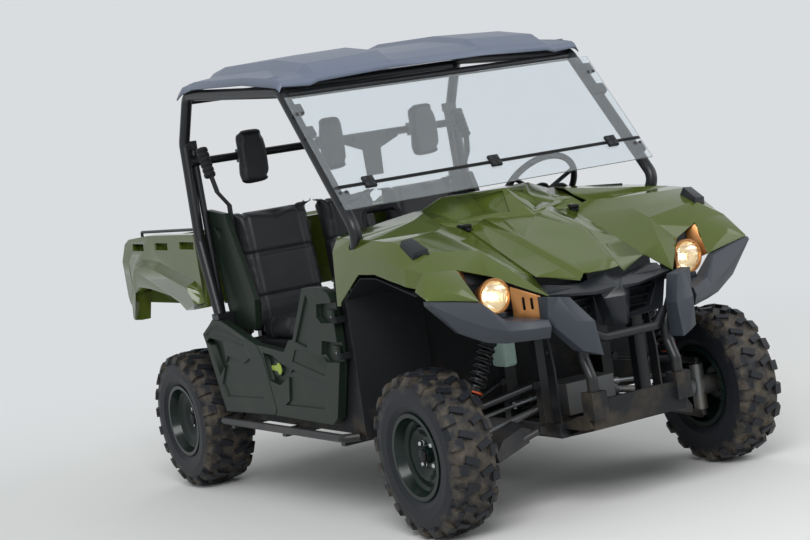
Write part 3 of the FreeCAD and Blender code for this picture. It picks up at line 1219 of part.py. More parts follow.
def nose_panel():
    """Black front panel: a brow under the hood's edge, a prow in the middle and a slatted opening on each side."""
    brow = ring_loft([
        [(284, -1336, 872), (284, -1420, 848), (284, -1416, 838), (284, -1336, 838)],
        [(97, -1370, 862), (97, -1462, 830), (97, -1458, 818), (97, -1370, 818)],
        [(0, -1382, 884), (0, -1470, 836), (0, -1466, 820), (0, -1382, 818)],
    ])
    prow = ring_loft([
        [(0, -1478, 836), (72, -1440, 832), (72, NOSE_REAR_Y - 10, 832), (0, NOSE_REAR_Y - 10, 836)],
        [(0, -1506, 800), (60, -1452, 796), (60, NOSE_REAR_Y - 10, 796), (0, NOSE_REAR_Y - 10, 800)],
        [(0, -1494, 690), (34, -1462, 690), (34, NOSE_REAR_Y - 10, 690), (0, NOSE_REAR_Y - 10, 690)],
    ])
    half = [(0, 690), (250, 706), (284, 842), (250, 880), (97, 850), (0, 866)]
    plate = front_prism(half, NOSE_REAR_Y - NOSE_PLATE_DEPTH, NOSE_REAR_Y)
    pocket = front_prism([(58, 712), (190, 724), (232, 800), (226, 836), (66, 822)], NOSE_REAR_Y - NOSE_PLATE_DEPTH - 1,
                         NOSE_REAR_Y - 6)
    slats = []
    for index in range(NOSE_SLATS):
        z = 730 + index * NOSE_SLAT_PITCH
        slats.append(box(40, 240, NOSE_REAR_Y - 30, NOSE_REAR_Y - 5, z, z + NOSE_SLAT_WALL).common(
            front_prism([(40, 700), (192, 722), (240, 800), (236, 840), (40, 830)], NOSE_REAR_Y - 31, NOSE_REAR_Y)))
    left = fuse([plate.cut(pocket), brow, prow] + slats)
    return fuse([left, mirrored(left)])


def headlights():
    """Round lens in its bucket on each side, on a foot that stands on the bumper's wing."""
    bucket = Part.makeCone(LAMP_RADIUS + 2, 40, 80, vec(LAMP_X, LAMP_Y, LAMP_Z), vec(0, 1, 0))
    lens = spindle(vec(LAMP_X, LAMP_Y + 2, LAMP_Z), vec(LAMP_X, LAMP_Y - 24, LAMP_Z),
                   [(0, LAMP_RADIUS), (8, LAMP_RADIUS), (12, LAMP_RADIUS - 4), (20, LAMP_RADIUS * 0.6), (23, 12)])
    foot = box(LAMP_X - 22, LAMP_X + 6, LAMP_Y - 38, LAMP_Y + 20, LAMP_FOOT_Z, LAMP_Z - LAMP_RADIUS + 8)
    return both(fuse([bucket, lens, foot.cut(bumper_wing())]))


def lamp_trims():
    """Slotted trim plate inboard of each headlight, standing on the bumper's wing."""
    outer, inner = (394.0, -1342.0), (322.0, -1426.0)
    wall = 5.0
    top = ((outer, 898.0), (inner, 852.0))
    ring = []
    for shift in (0.0, wall):
        ring.append([(outer[0] - shift, outer[1] + shift, 760.0), (inner[0] - shift, inner[1] + shift, 760.0),
                     (inner[0] - shift, inner[1] + shift, top[1][1]), (outer[0] - shift, outer[1] + shift, top[0][1])])
    plate = ring_loft(ring)
    along = vec(inner[0] - outer[0], inner[1] - outer[1], 0).normalize()
    across = vec(-along.y, along.x, 0)
    for share in TRIM_SLOTS:
        middle = vec(outer[0] + (inner[0] - outer[0]) * share, outer[1] + (inner[1] - outer[1]) * share, 0)
        slot = []
        for depth in (-2 * wall, 2 * wall):
            centre = middle.add(across * depth)
            start, end = centre.sub(along * 5), centre.add(along * 5)
            slot.append([(start.x, start.y, 806), (end.x, end.y, 806), (end.x, end.y, 862 - 20 * share),
                         (start.x, start.y, 862 - 20 * share)])
        plate = plate.cut(ring_loft(slot))
    return both(largest(plate.cut(bumper_wing())))


# x of the section, then (y, z) of its low front, nose, top front, top rear and low rear corners
WING_SECTIONS = (
    (336.0, ((-1478, 700), (-1496, 742), (-1484, 768), (-1418, 772), (-1418, 700))),
    (400.0, ((-1432, 700), (-1452, 742), (-1436, 772), (-1340, 788), (-1340, 700))),
    (470.0, ((-1392, 702), (-1424, 748), (-1404, 786), (-1340, 796), (-1340, 702))),
    (540.0, ((-1372, 716), (-1400, 772), (-1372, 862), (-1340, 866), (-1330, 720))),
    (640.0, ((-1352, 768), (-1378, 822), (-1356, 884), (-1326, 888), (-1322, 772))),
    (745.0, ((-1349, 888), (-1352, 893), (-1345, 903), (-1308, 905), (-1308, 888))),
)


def bumper_wing():
    """Left wing of the bumper, under the headlight."""
    return ring_loft([[(x, y, z) for y, z in section] for x, section in WING_SECTIONS])


def bumper_guards():
    """Moulded wing under each headlight, running in to a faceted upright guard."""
    guard = ring_loft([
        [(250, -1508, 836), (292, -1500, 843.1), (330, -1487, 849.6), (334, -1424, 850.3), (250, -1440, 836)],
        [(190, -1560, 739), (268, -1562, 750.4), (334, -1474, 760), (334, -1424, 760), (190, -1490, 739)],
        [(185, -1580, 611), (222, -1576, 625.8), (262, -1563, 641.8), (262, -1500, 641.8), (185, -1500, 611)],
    ])
    return both(fuse([guard, bumper_wing()]).cut(bumper_tubes()))


def bumper_tubes():
    """Upright tube behind each guard, and the cranked bar between them."""
    r = BUMPER_TUBE_RADIUS
    y = GUARD_FRONT_Y + 96 + r + SEAT_GAP
    pieces = []
    for side in (-1, 1):
        x = side * GUARD_TUBE_X
        foot_y = -1496.0
        pieces.append(tube([vec(x, foot_y, 474 + SEAT_GAP), vec(x, foot_y, 524), vec(x, y, 594), vec(x, y, 660),
                            vec(side * GUARD_TOP_X, y, 790)], r, 40))
    bar = tube([vec(-GUARD_TUBE_X, y, 712), vec(-120, y - 40, 662), vec(120, y - 40, 662),
                vec(GUARD_TUBE_X, y, 712)], 17, 40)
    return fuse(pieces + [bar])


def marker_blocks():
    """Side marker on the outer crest of each fender."""
    block = ring_loft([
        [(622, -1192, 1052), (688, -1176, 1046), (684, -1184, 1076), (630, -1196, 1080)],
        [(630, -1100, 1094), (694, -1096, 1084), (686, -1108, 1120), (642, -1112, 1124)],
    ])
    return both(largest(block.cut(front_fender())))


def arch_liner():
    """Inner liner of the front wheel arch: rear wall and roof, with a flange along the frame tower."""
    rear = CAGE_FOOT_Y - CAGE_TUBE_RADIUS - SEAT_GAP
    outline = [(rear, RAIL_TOP), (rear, 905), (-836, 988), (-962, 988), (-1245, 922)]
    outer = outline + inset(outline, -3.0)[::-1]
    return side_prism(outer, 400, BODY_HALF_WIDTH - 12)


# Bed

# Side view of the bed: (y, z) round the side wall, then round the flare's foot and its face
BED_SIDE = [(678, 1164), (684, 1186), (1210, 1190), (1456, 1176), (1516, 1153), (1581, 1069), (1580, 1043),
            (1574, 898), (1564, 868), (1486, 788), (1444, 782), (1383, 916), (1322, 946), (1186, 938), (962, 907),
            (865, 876), (800, 841), (700, 850), (670, 872)]
BED_FLARE_FOOT = [(662, 874), (738, 976), (1124, 1066), (1310, 1080), (1396, 1055), (1494, 903), (1486, 788),
                  (1444, 782), (1383, 916), (1322, 946), (1186, 938), (962, 907), (865, 876), (800, 841)]
BED_FLARE_FACE = [(700, 872), (772, 948), (1124, 1034), (1300, 1046), (1366, 1030), (1450, 900), (1462, 796),
                  (1444, 788), (1383, 920), (1322, 950), (1186, 942), (962, 911), (865, 880), (800, 845)]
BED_POCKETS = ((1415, 1280), (1140, 990), (850, 690))


def bed_tub():
    """Cargo tub: floor on its runners, front wall, and deep side walls with flares and tie-down pockets."""
    low = BED_FLOOR_Z
    inner_x = BED_HALF_WIDTH - BED_WALL
    floor = box(-inner_x - 1, inner_x + 1, BED_FRONT_Y, BED_REAR_Y, low, low + BED_FLOOR_WALL)
    front = box(-inner_x - 1, inner_x + 1, BED_FRONT_Y, BED_FRONT_Y + BED_WALL, low, BED_TOP_Z + 20)
    flare_x = BED_HALF_WIDTH + BED_FLARE
    side = [
        side_prism(BED_SIDE, inner_x, BED_HALF_WIDTH),
        box(inner_x - BED_LINER_WALL, inner_x + 1, BED_FRONT_Y, BED_REAR_Y, low, BED_TOP_Z - 6),
        ring_loft([[(BED_HALF_WIDTH, y, z) for y, z in BED_FLARE_FOOT], [(flare_x, y, z) for y, z in BED_FLARE_FACE]]),
        box(BED_RAIL_X - BED_RAIL_SIZE / 2, BED_RAIL_X + BED_RAIL_SIZE / 2, BED_FRONT_Y, BED_HINGE_Y,
            BED_RAIL_TOP + SEAT_GAP, low),
        rod(vec(BED_RAIL_X - BED_RAIL_SIZE / 2, BED_HINGE_Y, BED_HINGE_Z),
            vec(BED_RAIL_X + BED_RAIL_SIZE / 2, BED_HINGE_Y, BED_HINGE_Z), BED_KNUCKLE_RADIUS),
        box(TAILGATE_HINGE_X - TAILGATE_KNUCKLE_HALF, TAILGATE_HINGE_X + TAILGATE_KNUCKLE_HALF, BED_REAR_Y - 8,
            TAILGATE_HINGE_Y, low, TAILGATE_HINGE_Z + TAILGATE_KNUCKLE_RADIUS),
        rod(vec(TAILGATE_HINGE_X - TAILGATE_KNUCKLE_HALF, TAILGATE_HINGE_Y, TAILGATE_HINGE_Z),
            vec(TAILGATE_HINGE_X + TAILGATE_KNUCKLE_HALF, TAILGATE_HINGE_Y, TAILGATE_HINGE_Z),
            TAILGATE_KNUCKLE_RADIUS),
    ]
    left = fuse(side)
    for rear_y, front_y in BED_POCKETS:
        pocket = [(rear_y, 1154), (front_y, 1151), (front_y + 6, 1118), (rear_y + 6, 1121)]
        left = left.cut(side_prism(pocket, BED_HALF_WIDTH - 16, BED_HALF_WIDTH + 1))
    seam = side_prism([(1496, 1060), (1500, 1060), (1500, 905), (1496, 905)], BED_HALF_WIDTH - 5, BED_HALF_WIDTH + 1)
    left = left.cut(seam).cut(bed_hinge_pin(BED_PIN_RADIUS + SEAT_GAP))
    left = left.cut(tailgate_pin(TAILGATE_PIN_RADIUS + SEAT_GAP))
    return fuse([floor, front, left, mirrored(left)])


def bed_rails():
    """Tie-down rail over each side wall, on two feet."""
    x = BED_HALF_WIDTH - BED_WALL / 2
    front, rear = BED_BAR_FRONT_Y, BED_BAR_REAR_Y
    foot_z = BED_TOP_Z + 10
    rail = tube([vec(x, front, foot_z), vec(x, front, BED_BAR_Z), vec(x, rear, BED_BAR_Z), vec(x, rear, foot_z)],
                BED_BAR_RADIUS, BED_BAR_RADIUS + 1)
    return both(largest(rail.cut(side_prism(BED_SIDE, x - BED_WALL, x + BED_WALL))))


def tailgate_pin(radius):
    """Left hinge pin of the tailgate, through the bed's knuckle."""
    reach = TAILGATE_KNUCKLE_HALF + TAILGATE_NOTCH_GAP + 12
    return rod(vec(TAILGATE_HINGE_X - reach, TAILGATE_HINGE_Y, TAILGATE_HINGE_Z),
               vec(TAILGATE_HINGE_X + reach, TAILGATE_HINGE_Y, TAILGATE_HINGE_Z), radius)


def tailgate():
    """Gate between the side walls, with a pressed panel in its outer face and its hinge pins."""
    y = BED_REAR_Y + TAILGATE_GAP
    half = BED_HALF_WIDTH - BED_WALL - TAILGATE_GAP
    slab = box(-half, half, y, y + TAILGATE_WALL, BED_FLOOR_Z, BED_TOP_Z - 4)
    for side in (-1, 1):
        x0, x1 = sorted((side * 40, side * (half - 60)))
        slab = slab.cut(box(x0, x1, y + TAILGATE_WALL - 8, y + TAILGATE_WALL + 1, BED_FLOOR_Z + 70, BED_TOP_Z - 70))
    handle = box(-70, 70, y + TAILGATE_WALL - 16, y + TAILGATE_WALL + 1, BED_TOP_Z - 56, BED_TOP_Z - 26)
    reach = TAILGATE_KNUCKLE_HALF + TAILGATE_NOTCH_GAP
    notch = box(TAILGATE_HINGE_X - reach, TAILGATE_HINGE_X + reach, y - 1, y + TAILGATE_WALL + 1, BED_FLOOR_Z - 1,
                TAILGATE_HINGE_Z + 20)
    return fuse([slab.cut(handle).cut(both(notch)), tailgate_pin(TAILGATE_PIN_RADIUS),
                 mirrored(tailgate_pin(TAILGATE_PIN_RADIUS))])


NODES = {
    "frame": ladder_frame(),
    "front_tower": front_tower(),
    "rear_tower": rear_tower(),
    "skid_plate": skid_plate(),
    "engine": engine(),
    "muffler": muffler(),
    "front_lower_arms": both(lower_arm(FRONT_AXLE_Y, -1)),
    "front_upper_arms": both(upper_arm(FRONT_AXLE_Y)),
    "rear_lower_arms": both(lower_arm(REAR_AXLE_Y, 1)),
    "rear_upper_arms": both(upper_arm(REAR_AXLE_Y)),
    "shocks": Part.makeCompound([both(shock(FRONT_AXLE_Y)), both(shock(REAR_AXLE_Y))]),
    "front_drive": drive_unit(FRONT_AXLE_Y, 6.0),
    "rear_drive": drive_unit(REAR_AXLE_Y, 4.0),
    "steering_rack": steering_rack(),
    "rear_carriers": both(rear_carrier()),
    "knuckle_left": front_knuckle(),
    "knuckle_right": mirrored(front_knuckle()),
    "floor_tub": floor_tub(),
    "seat_base": seat_base(),
    "seat_pads": seat_pads(),
    "headrest_pads": headrest_pads(),
    "roll_cage": roll_cage(),
    "roof": roof(),
    "windshield_panes": windshield_panes(),
    "windshield_clamps": windshield_clamps(),
    "dashboard": dashboard(),
    "steering_wheel": steering_wheel(),
    "side_shields": side_shields(),
    "door_left": door(),
    "door_right": mirrored(door()),
    "quarter_panels": both(quarter_panel()),
    "step_bars": both(step_bar()),
    "belts": belts(),
    "front_fender_left": front_fender(),
    "front_fender_right": mirrored(front_fender()),
    "hood": hood(),
    "cowl": cowl(),
    "nose_panel": nose_panel(),
    "headlights": headlights(),
    "lamp_trims": lamp_trims(),
    "bumper_guards": bumper_guards(),
    "bumper_tubes": bumper_tubes(),
    "marker_blocks": marker_blocks(),
    "arch_liners": both(arch_liner()),
    "bed_tub": bed_tub(),
    "bed_rails": bed_rails(),
    "tailgate": tailgate(),
}

# Wheels: end of the vehicle, half track, axle, tyre width
WHEELS = (
    ("front", FRONT_HALF_TRACK, FRONT_AXLE_Y, FRONT_TYRE_WIDTH),
    ("rear", REAR_HALF_TRACK, REAR_AXLE_Y, REAR_TYRE_WIDTH),
)
for end, half_track, axle_y, width in WHEELS:
    rubber = tyre(half_track, axle_y, width)
    steel = rim(half_track, axle_y, width)
    NODES["tyre_" + end + "_left"] = rubber
    NODES["tyre_" + end + "_right"] = mirrored(rubber)
    NODES["rim_" + end + "_left"] = steel
    NODES["rim_" + end + "_right"] = mirrored(steel)

for name, shape in NODES.items():
    shape.exportStep("parts/" + name + ".step")
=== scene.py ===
"""Looks of an open three-seat utility vehicle: olive body, dark moulded trim, steel cage and lugged tyres."""

import json
import math

import bpy
import bmesh
from mathutils import Matrix, Vector


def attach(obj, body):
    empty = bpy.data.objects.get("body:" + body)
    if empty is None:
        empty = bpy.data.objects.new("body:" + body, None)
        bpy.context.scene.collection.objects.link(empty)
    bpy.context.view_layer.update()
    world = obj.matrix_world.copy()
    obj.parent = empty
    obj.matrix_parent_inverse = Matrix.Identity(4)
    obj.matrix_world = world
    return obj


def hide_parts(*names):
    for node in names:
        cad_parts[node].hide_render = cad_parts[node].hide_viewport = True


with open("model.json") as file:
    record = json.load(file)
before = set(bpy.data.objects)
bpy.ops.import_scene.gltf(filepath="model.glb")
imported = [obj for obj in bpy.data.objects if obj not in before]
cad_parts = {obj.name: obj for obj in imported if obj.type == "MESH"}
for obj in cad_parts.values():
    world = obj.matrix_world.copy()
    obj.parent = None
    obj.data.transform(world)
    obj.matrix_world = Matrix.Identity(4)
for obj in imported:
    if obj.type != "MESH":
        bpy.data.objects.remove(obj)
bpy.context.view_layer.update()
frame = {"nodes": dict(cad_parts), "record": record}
node_object = frame["nodes"]

# The camera: a long lens from the vehicle's right front corner, a little above the sills. It leans to
# one side as the hand that held it did, because the ground falls away to the left of the view.

camera_place = Vector((-4.1934, -7.28757, 1.58708))
camera_turn = math.radians(-29.57)
camera_rise = math.radians(4.63)
camera_lean = math.radians(-8.49)
camera_lens_mm = 85.63
camera_sensor_mm = 36.0
camera_reach = 200.0

camera_data = bpy.data.cameras.new("camera")
camera_data.lens = camera_lens_mm
camera_data.sensor_width = camera_sensor_mm
camera_data.clip_end = camera_reach
camera = bpy.data.objects.new("camera", camera_data)
bpy.context.scene.collection.objects.link(camera)
bpy.context.scene.camera = camera
back = Vector((math.sin(camera_turn) * math.cos(camera_rise),
               -math.cos(camera_turn) * math.cos(camera_rise),
               math.sin(camera_rise)))
level = Vector((math.cos(camera_turn), math.sin(camera_turn), 0.0))
upward = back.cross(level)
right = level * math.cos(camera_lean) + upward * math.sin(camera_lean)
top = upward * math.cos(camera_lean) - level * math.sin(camera_lean)
camera.matrix_world = Matrix.Translation(camera_place) @ Matrix((right, top, back)).transposed().to_4x4()

# The studio: a pale floor that fades into a pale sky of the same tone, which also fills the shade, and three
# large soft lamps, the brightest in front and above on the vehicle's right.

floor_hex = "E4E5E3"
floor_size = 120.0
floor_roughness = 0.9
floor_fade = (1.7, 6.0)
sky_hex = "EEF1F4"
sky_strength = 0.55
backdrop_strength = 0.82
lamp_aim = Vector((0.0, 0.0, 0.7))
lamps = (
    ("key_lamp", (-4.5, -7.0, 6.5), 5.0, 600.0),
    ("fill_lamp", (6.5, -5.0, 4.5), 6.0, 180.0),
    ("rim_lamp", (1.5, 7.5, 6.0), 7.0, 170.0),
)


def linear(hex_colour):
    """sRGB hex to the linear colour that shader sockets take."""
    parts = [int(hex_colour[i:i + 2], 16) / 255.0 for i in (0, 2, 4)]
    return tuple(c / 12.92 if c <= 0.04045 else ((c + 0.055) / 1.055) ** 2.4 for c in parts) + (1.0,)


def new_material(name):
    """Empty material with its shader: returns the material, its tree and the shader."""
    material = bpy.data.materials.new(name)
    material.use_nodes = True
    return material, material.node_tree, material.node_tree.nodes["Principled BSDF"]


def plug(tree, target, **links):
    """Sets or links a node's inputs, by socket name with underscores for spaces or by i and a number."""
    for name, value in links.items():
        numbered = name[0] == "i" and name[1:].isdigit()
        socket = target.inputs[int(name[1:]) if numbered else name.replace("_", " ")]
        if isinstance(value, bpy.types.NodeSocket):
            tree.links.new(value, socket)
        else:
            socket.default_value = value


def node(tree, kind, settings=None, **links):
    """New shader node: settings are its properties, links are what plug takes."""
    new = tree.nodes.new(kind)
    for name, value in (settings or {}).items():
        setattr(new, name, value)
    plug(tree, new, **links)
    return new


def reckoned(tree, operation, *values):
    """Output of a math node."""
    links = {"i" + str(number): value for number, value in enumerate(values)}
    return node(tree, "ShaderNodeMath", {"operation": operation}, **links).outputs[0]


def ranged(tree, value, given, result=(0.0, 1.0), **settings):
    """Value carried from the given range to the result's, and held within it."""
    return node(tree, "ShaderNodeMapRange", settings, Value=value, From_Min=given[0], From_Max=given[1],
                To_Min=result[0], To_Max=result[1]).outputs[0]


def own_place(tree):
    """Place of the shaded point in its piece's own frame."""
    return node(tree, "ShaderNodeTexCoord").outputs["Object"]


def noise(tree, place, scale, detail, roughness=0.5):
    """Cloudy texture from nought to one."""
    return node(tree, "ShaderNodeTexNoise", None, Vector=place, Scale=scale, Detail=detail,
                Roughness=roughness).outputs["Fac"]


def blend(tree, factor, first, second):
    """Mix of two colours."""
    return node(tree, "ShaderNodeMix", {"data_type": "RGBA"}, Factor=factor, i6=first, i7=second).outputs[2]


def seen_rays(tree):
    """One for rays that show the backdrop, also through glass or in a reflection, and nought for others."""
    path = node(tree, "ShaderNodeLightPath").outputs
    straight = reckoned(tree, "MAXIMUM", path["Is Camera Ray"], path["Is Transmission Ray"])
    return reckoned(tree, "MAXIMUM", straight, path["Is Glossy Ray"])


bpy.context.scene.view_settings.view_transform = "Standard"
world = bpy.data.worlds.new("studio_sky")
bpy.context.scene.world = world
world.use_nodes = True
tree = world.node_tree
tree.nodes.clear()
strength = ranged(tree, seen_rays(tree), (0.0, 1.0), (sky_strength, backdrop_strength))
sky = node(tree, "ShaderNodeBackground", None, Color=linear(sky_hex), Strength=strength)
node(tree, "ShaderNodeOutputWorld", None, Surface=sky.outputs[0])

for name, place, size, power in lamps:
    lamp = bpy.data.lights.new(name, "AREA")
    lamp.size = size
    lamp.energy = power
    holder = bpy.data.objects.new(name, lamp)
    bpy.context.scene.collection.objects.link(holder)
    holder.location = place
    holder.rotation_euler = (lamp_aim - Vector(place)).to_track_quat("-Z", "Y").to_euler()
    holder.visible_glossy = name != "rim_lamp"

bpy.ops.mesh.primitive_plane_add(size=floor_size, location=(0.0, 0.0, 0.0))
studio_floor = bpy.context.object
studio_floor.name = "studio_floor"
floor_material, tree, shader = new_material("studio_floor_paint")
plug(tree, shader, Base_Color=linear(floor_hex), Roughness=floor_roughness)
away = node(tree, "ShaderNodeVectorMath", {"operation": "LENGTH"}, i0=own_place(tree)).outputs["Value"]
fade = ranged(tree, away, floor_fade, interpolation_type="SMOOTHSTEP")
share = reckoned(tree, "MULTIPLY", seen_rays(tree), fade)
glow = node(tree, "ShaderNodeEmission", None, Color=linear(sky_hex), Strength=backdrop_strength)
both = node(tree, "ShaderNodeMixShader", None, i0=share, i1=shader.outputs[0], i2=glow.outputs[0])
plug(tree, tree.nodes["Material Output"], Surface=both.outputs[0])
studio_floor.data.materials.append(floor_material)

# The ladder frame, its two shock towers, the roll cage and the bumper's tubes: welded steel, powder coated
# satin black. The coat is slightly pebbled, and the lower a piece lies the more dust it holds.

dust_hex = "8C7A5E"
dust_foot = 0.15
dust_by_height = (0.20, -0.16)
dust_threshold = (0.46, 0.80)
coat_hex = "17191C"
carried_by = {name: body for body, names in frame["record"]["behaviour"]["bodies"].items() for name in names}


def dusty(tree, colour, dust_top, dust_share, dust_mm=140.0):
    """Colour under patches of dust, dust_mm across, that thin out from the ground up to dust_top metres."""
    place = own_place(tree)
    height = node(tree, "ShaderNodeSeparateXYZ", None, Vector=place).outputs["Z"]
    low = ranged(tree, height, (dust_foot, dust_top), dust_by_height)
    raised = reckoned(tree, "ADD", noise(tree, place, 1000.0 / dust_mm, 6.0, 0.62), low)
    return blend(tree, ranged(tree, raised, dust_threshold, (0.0, dust_share)), colour, linear(dust_hex))


def pebbled(tree, shader, grain_mm, depth_mm, edge_mm=2.5):
    """Moulded or sprayed grain as bump, over edges that look rounded by edge_mm."""
    grain = noise(tree, own_place(tree), 1000.0 / grain_mm, 3.0)
    edge = node(tree, "ShaderNodeBevel", {"samples": 4}, Radius=edge_mm / 1000.0)
    bump = node(tree, "ShaderNodeBump", None, Strength=0.6, Distance=depth_mm / 1000.0, Height=grain,
                Normal=edge.outputs[0])
    plug(tree, shader, Normal=bump.outputs[0])


def finish(name, colour_hex, dust=None, grain=None, **sockets):
    """Material of one colour: dust is what dusty takes after the colour, grain what pebbled takes."""
    material, tree, shader = new_material(name)
    colour = linear(colour_hex)
    plug(tree, shader, Base_Color=dusty(tree, colour, *dust) if dust else colour, **sockets)
    if grain:
        pebbled(tree, shader, *grain)
    return material


def paint_node(name, material):
    """Gives a CAD piece that keeps its own shape its material."""
    mesh = node_object[name].data
    mesh.materials.clear()
    mesh.materials.append(material)


powder_coat = finish("powder_coated_steel", coat_hex, dust=(0.6, 0.12), grain=(2.5, 0.10),
                     Roughness=0.36, Specular_IOR_Level=0.4)
for name in ("frame", "front_tower", "rear_tower", "roll_cage", "bumper_tubes", "step_bars",
             "front_upper_arms", "rear_upper_arms", "bed_rails"):
    paint_node(name, powder_coat)

# The belly pan, arch liners, floor tub, dash, seat base and other black mouldings: polypropylene with a
# coarse leather grain from the mould, which scatters the light, so they read as soft charcoal.

black_hex = "1B1D20"
matt_specular = 0.25

black_plastic = finish("grained_black_polypropylene", black_hex, dust=(0.6, 0.25), grain=(3.0, 0.25),
                       Roughness=0.55, Specular_IOR_Level=matt_specular)
for name in ("skid_plate", "arch_liners", "floor_tub", "seat_base", "dashboard", "windshield_clamps"):
    paint_node(name, black_plastic)

# Engine block, differentials, knuckles and hub carriers: sand-cast aluminium. It is left bare, and oxide and
# mud have dulled it.

cast_hex = "7F8284"

cast_alloy = finish("sand_cast_aluminium", cast_hex, dust=(0.6, 0.5, 60.0), grain=(1.6, 0.15),
                    Roughness=0.52, Metallic=0.85)
for name in ("engine", "front_drive", "rear_drive", "rear_carriers", "knuckle_left", "knuckle_right"):
    paint_node(name, cast_alloy)

# Silencer and steering rack: pressed and turned steel with a zinc plating, bluish and half bright. Road dust
# lies thick on both.

zinc_hex = "9A9DA0"

zinc_steel = finish("zinc_plated_steel", zinc_hex, dust=(0.5, 0.6, 60.0), grain=(4.0, 0.04, 1.0),
                    Roughness=0.38, Metallic=1.0)
for name in ("muffler", "steering_rack"):
    paint_node(name, zinc_steel)

# Lower arms: welded tubes, each with a dark polymer guard clipped under it, scuffed by stones. Tube and guard
# are one piece here and share the guard's finish.

guard_hex = "222428"

arm_guard = finish("scuffed_guard_polymer", guard_hex, dust=(0.6, 0.12, 80.0), grain=(6.0, 0.2),
                   Roughness=0.5)
for name in ("front_lower_arms", "rear_lower_arms"):
    paint_node(name, arm_guard)

# Coil-over shocks: a black damper body in a wound spring of coated wire, over an orange preload ring. Each
# spring is one turned coil, set on its damper's axis between the two spring seats.

spring_hex = "26282B"
ring_hex = "C9562A"
spring_turns = 8
spring_wire = 0.0058
spring_radius = 0.0275
spring_share = 0.70
spring_start = 0.115
ring_start = 0.075
shock_foot = {"front": Vector((0.478, -1.103, 0.4798)), "rear": Vector((0.478, 1.037, 0.4798))}
shock_head = {"front": Vector((0.336, -1.103, 0.7587)), "rear": Vector((0.336, 1.037, 0.7587))}
weld_distance = 0.00001
smooth_angle = math.radians(32.0)
to_right = Matrix.Scale(-1.0, 4, (1.0, 0.0, 0.0))


def alone(piece):
    """Selects one piece and nothing else."""
    bpy.ops.object.select_all(action="DESELECT")
    piece.select_set(True)
    bpy.context.view_layer.objects.active = piece


def edit_all():
    """Opens the active piece's mesh for editing with all of it selected."""
    bpy.ops.object.mode_set(mode="EDIT")
    bpy.ops.mesh.select_all(action="SELECT")


def edit_done():
    """Closes the mesh that is being edited."""
    bpy.ops.object.mode_set(mode="OBJECT")


def settled(piece, name):
    """Names the piece and moves its place into its mesh."""
    alone(piece)
    bpy.ops.object.transform_apply(location=True, rotation=True, scale=True)
    piece.name = name
    piece.data.name = name
    return piece


def copied(piece, name, place):
    """Copy with its own mesh, moved by a matrix and kept right side out."""
    mesh = piece.data.copy()
    mesh.transform(place)
    if place.determinant() < 0:
        mesh.flip_normals()
    twin = bpy.data.objects.new(name, mesh)
    bpy.context.scene.collection.objects.link(twin)
    return twin


def joined(pieces, name):
    """Several like pieces as one object with one mesh."""
    alone(pieces[0])
    for piece in pieces:
        piece.select_set(True)
    bpy.ops.object.join()
    pieces[0].name = name
    pieces[0].data.name = name
    return pieces[0]


def from_points(name, points, edges=(), faces=()):
    """New piece from its points, with nothing else selected."""
    mesh = bpy.data.meshes.new(name)
    piece = bpy.data.objects.new(name, mesh)
    bpy.context.scene.collection.objects.link(piece)
    mesh.from_pydata(points, edges, faces)
    alone(piece)
    return piece


def turned_piece(name, profile, steps=32, sides_smooth=True):
    """Solid spun about Z from (radius, height) pairs, both ends closed."""
    links = [(i, i + 1) for i in range(len(profile) - 1)]
    piece = from_points(name, [(radius, 0.0, height) for radius, height in profile], links)
    edit_all()
    bpy.ops.mesh.spin(steps=steps, angle=math.tau, center=(0.0, 0.0, 0.0), axis=(0.0, 0.0, 1.0))
    bpy.ops.mesh.select_all(action="SELECT")
    bpy.ops.mesh.remove_doubles(threshold=weld_distance)
    bpy.ops.mesh.normals_make_consistent(inside=False)
    edit_done()
    if sides_smooth:
        bpy.ops.object.shade_smooth_by_angle(angle=smooth_angle)
    return piece


def dressed(piece, material, body):
    """Gives a new piece its material and its body."""
    piece.data.materials.clear()
    piece.data.materials.append(material)
    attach(piece, body)
    return piece


def both_sides(piece, material, body):
    """Dresses a left piece and its mirrored twin, which rides on the right body where there are two."""
    twin = copied(piece, piece.name.replace("_left", "_right"), to_right)
    dressed(piece, material, body)
    dressed(twin, material, body.replace("_left", "_right"))


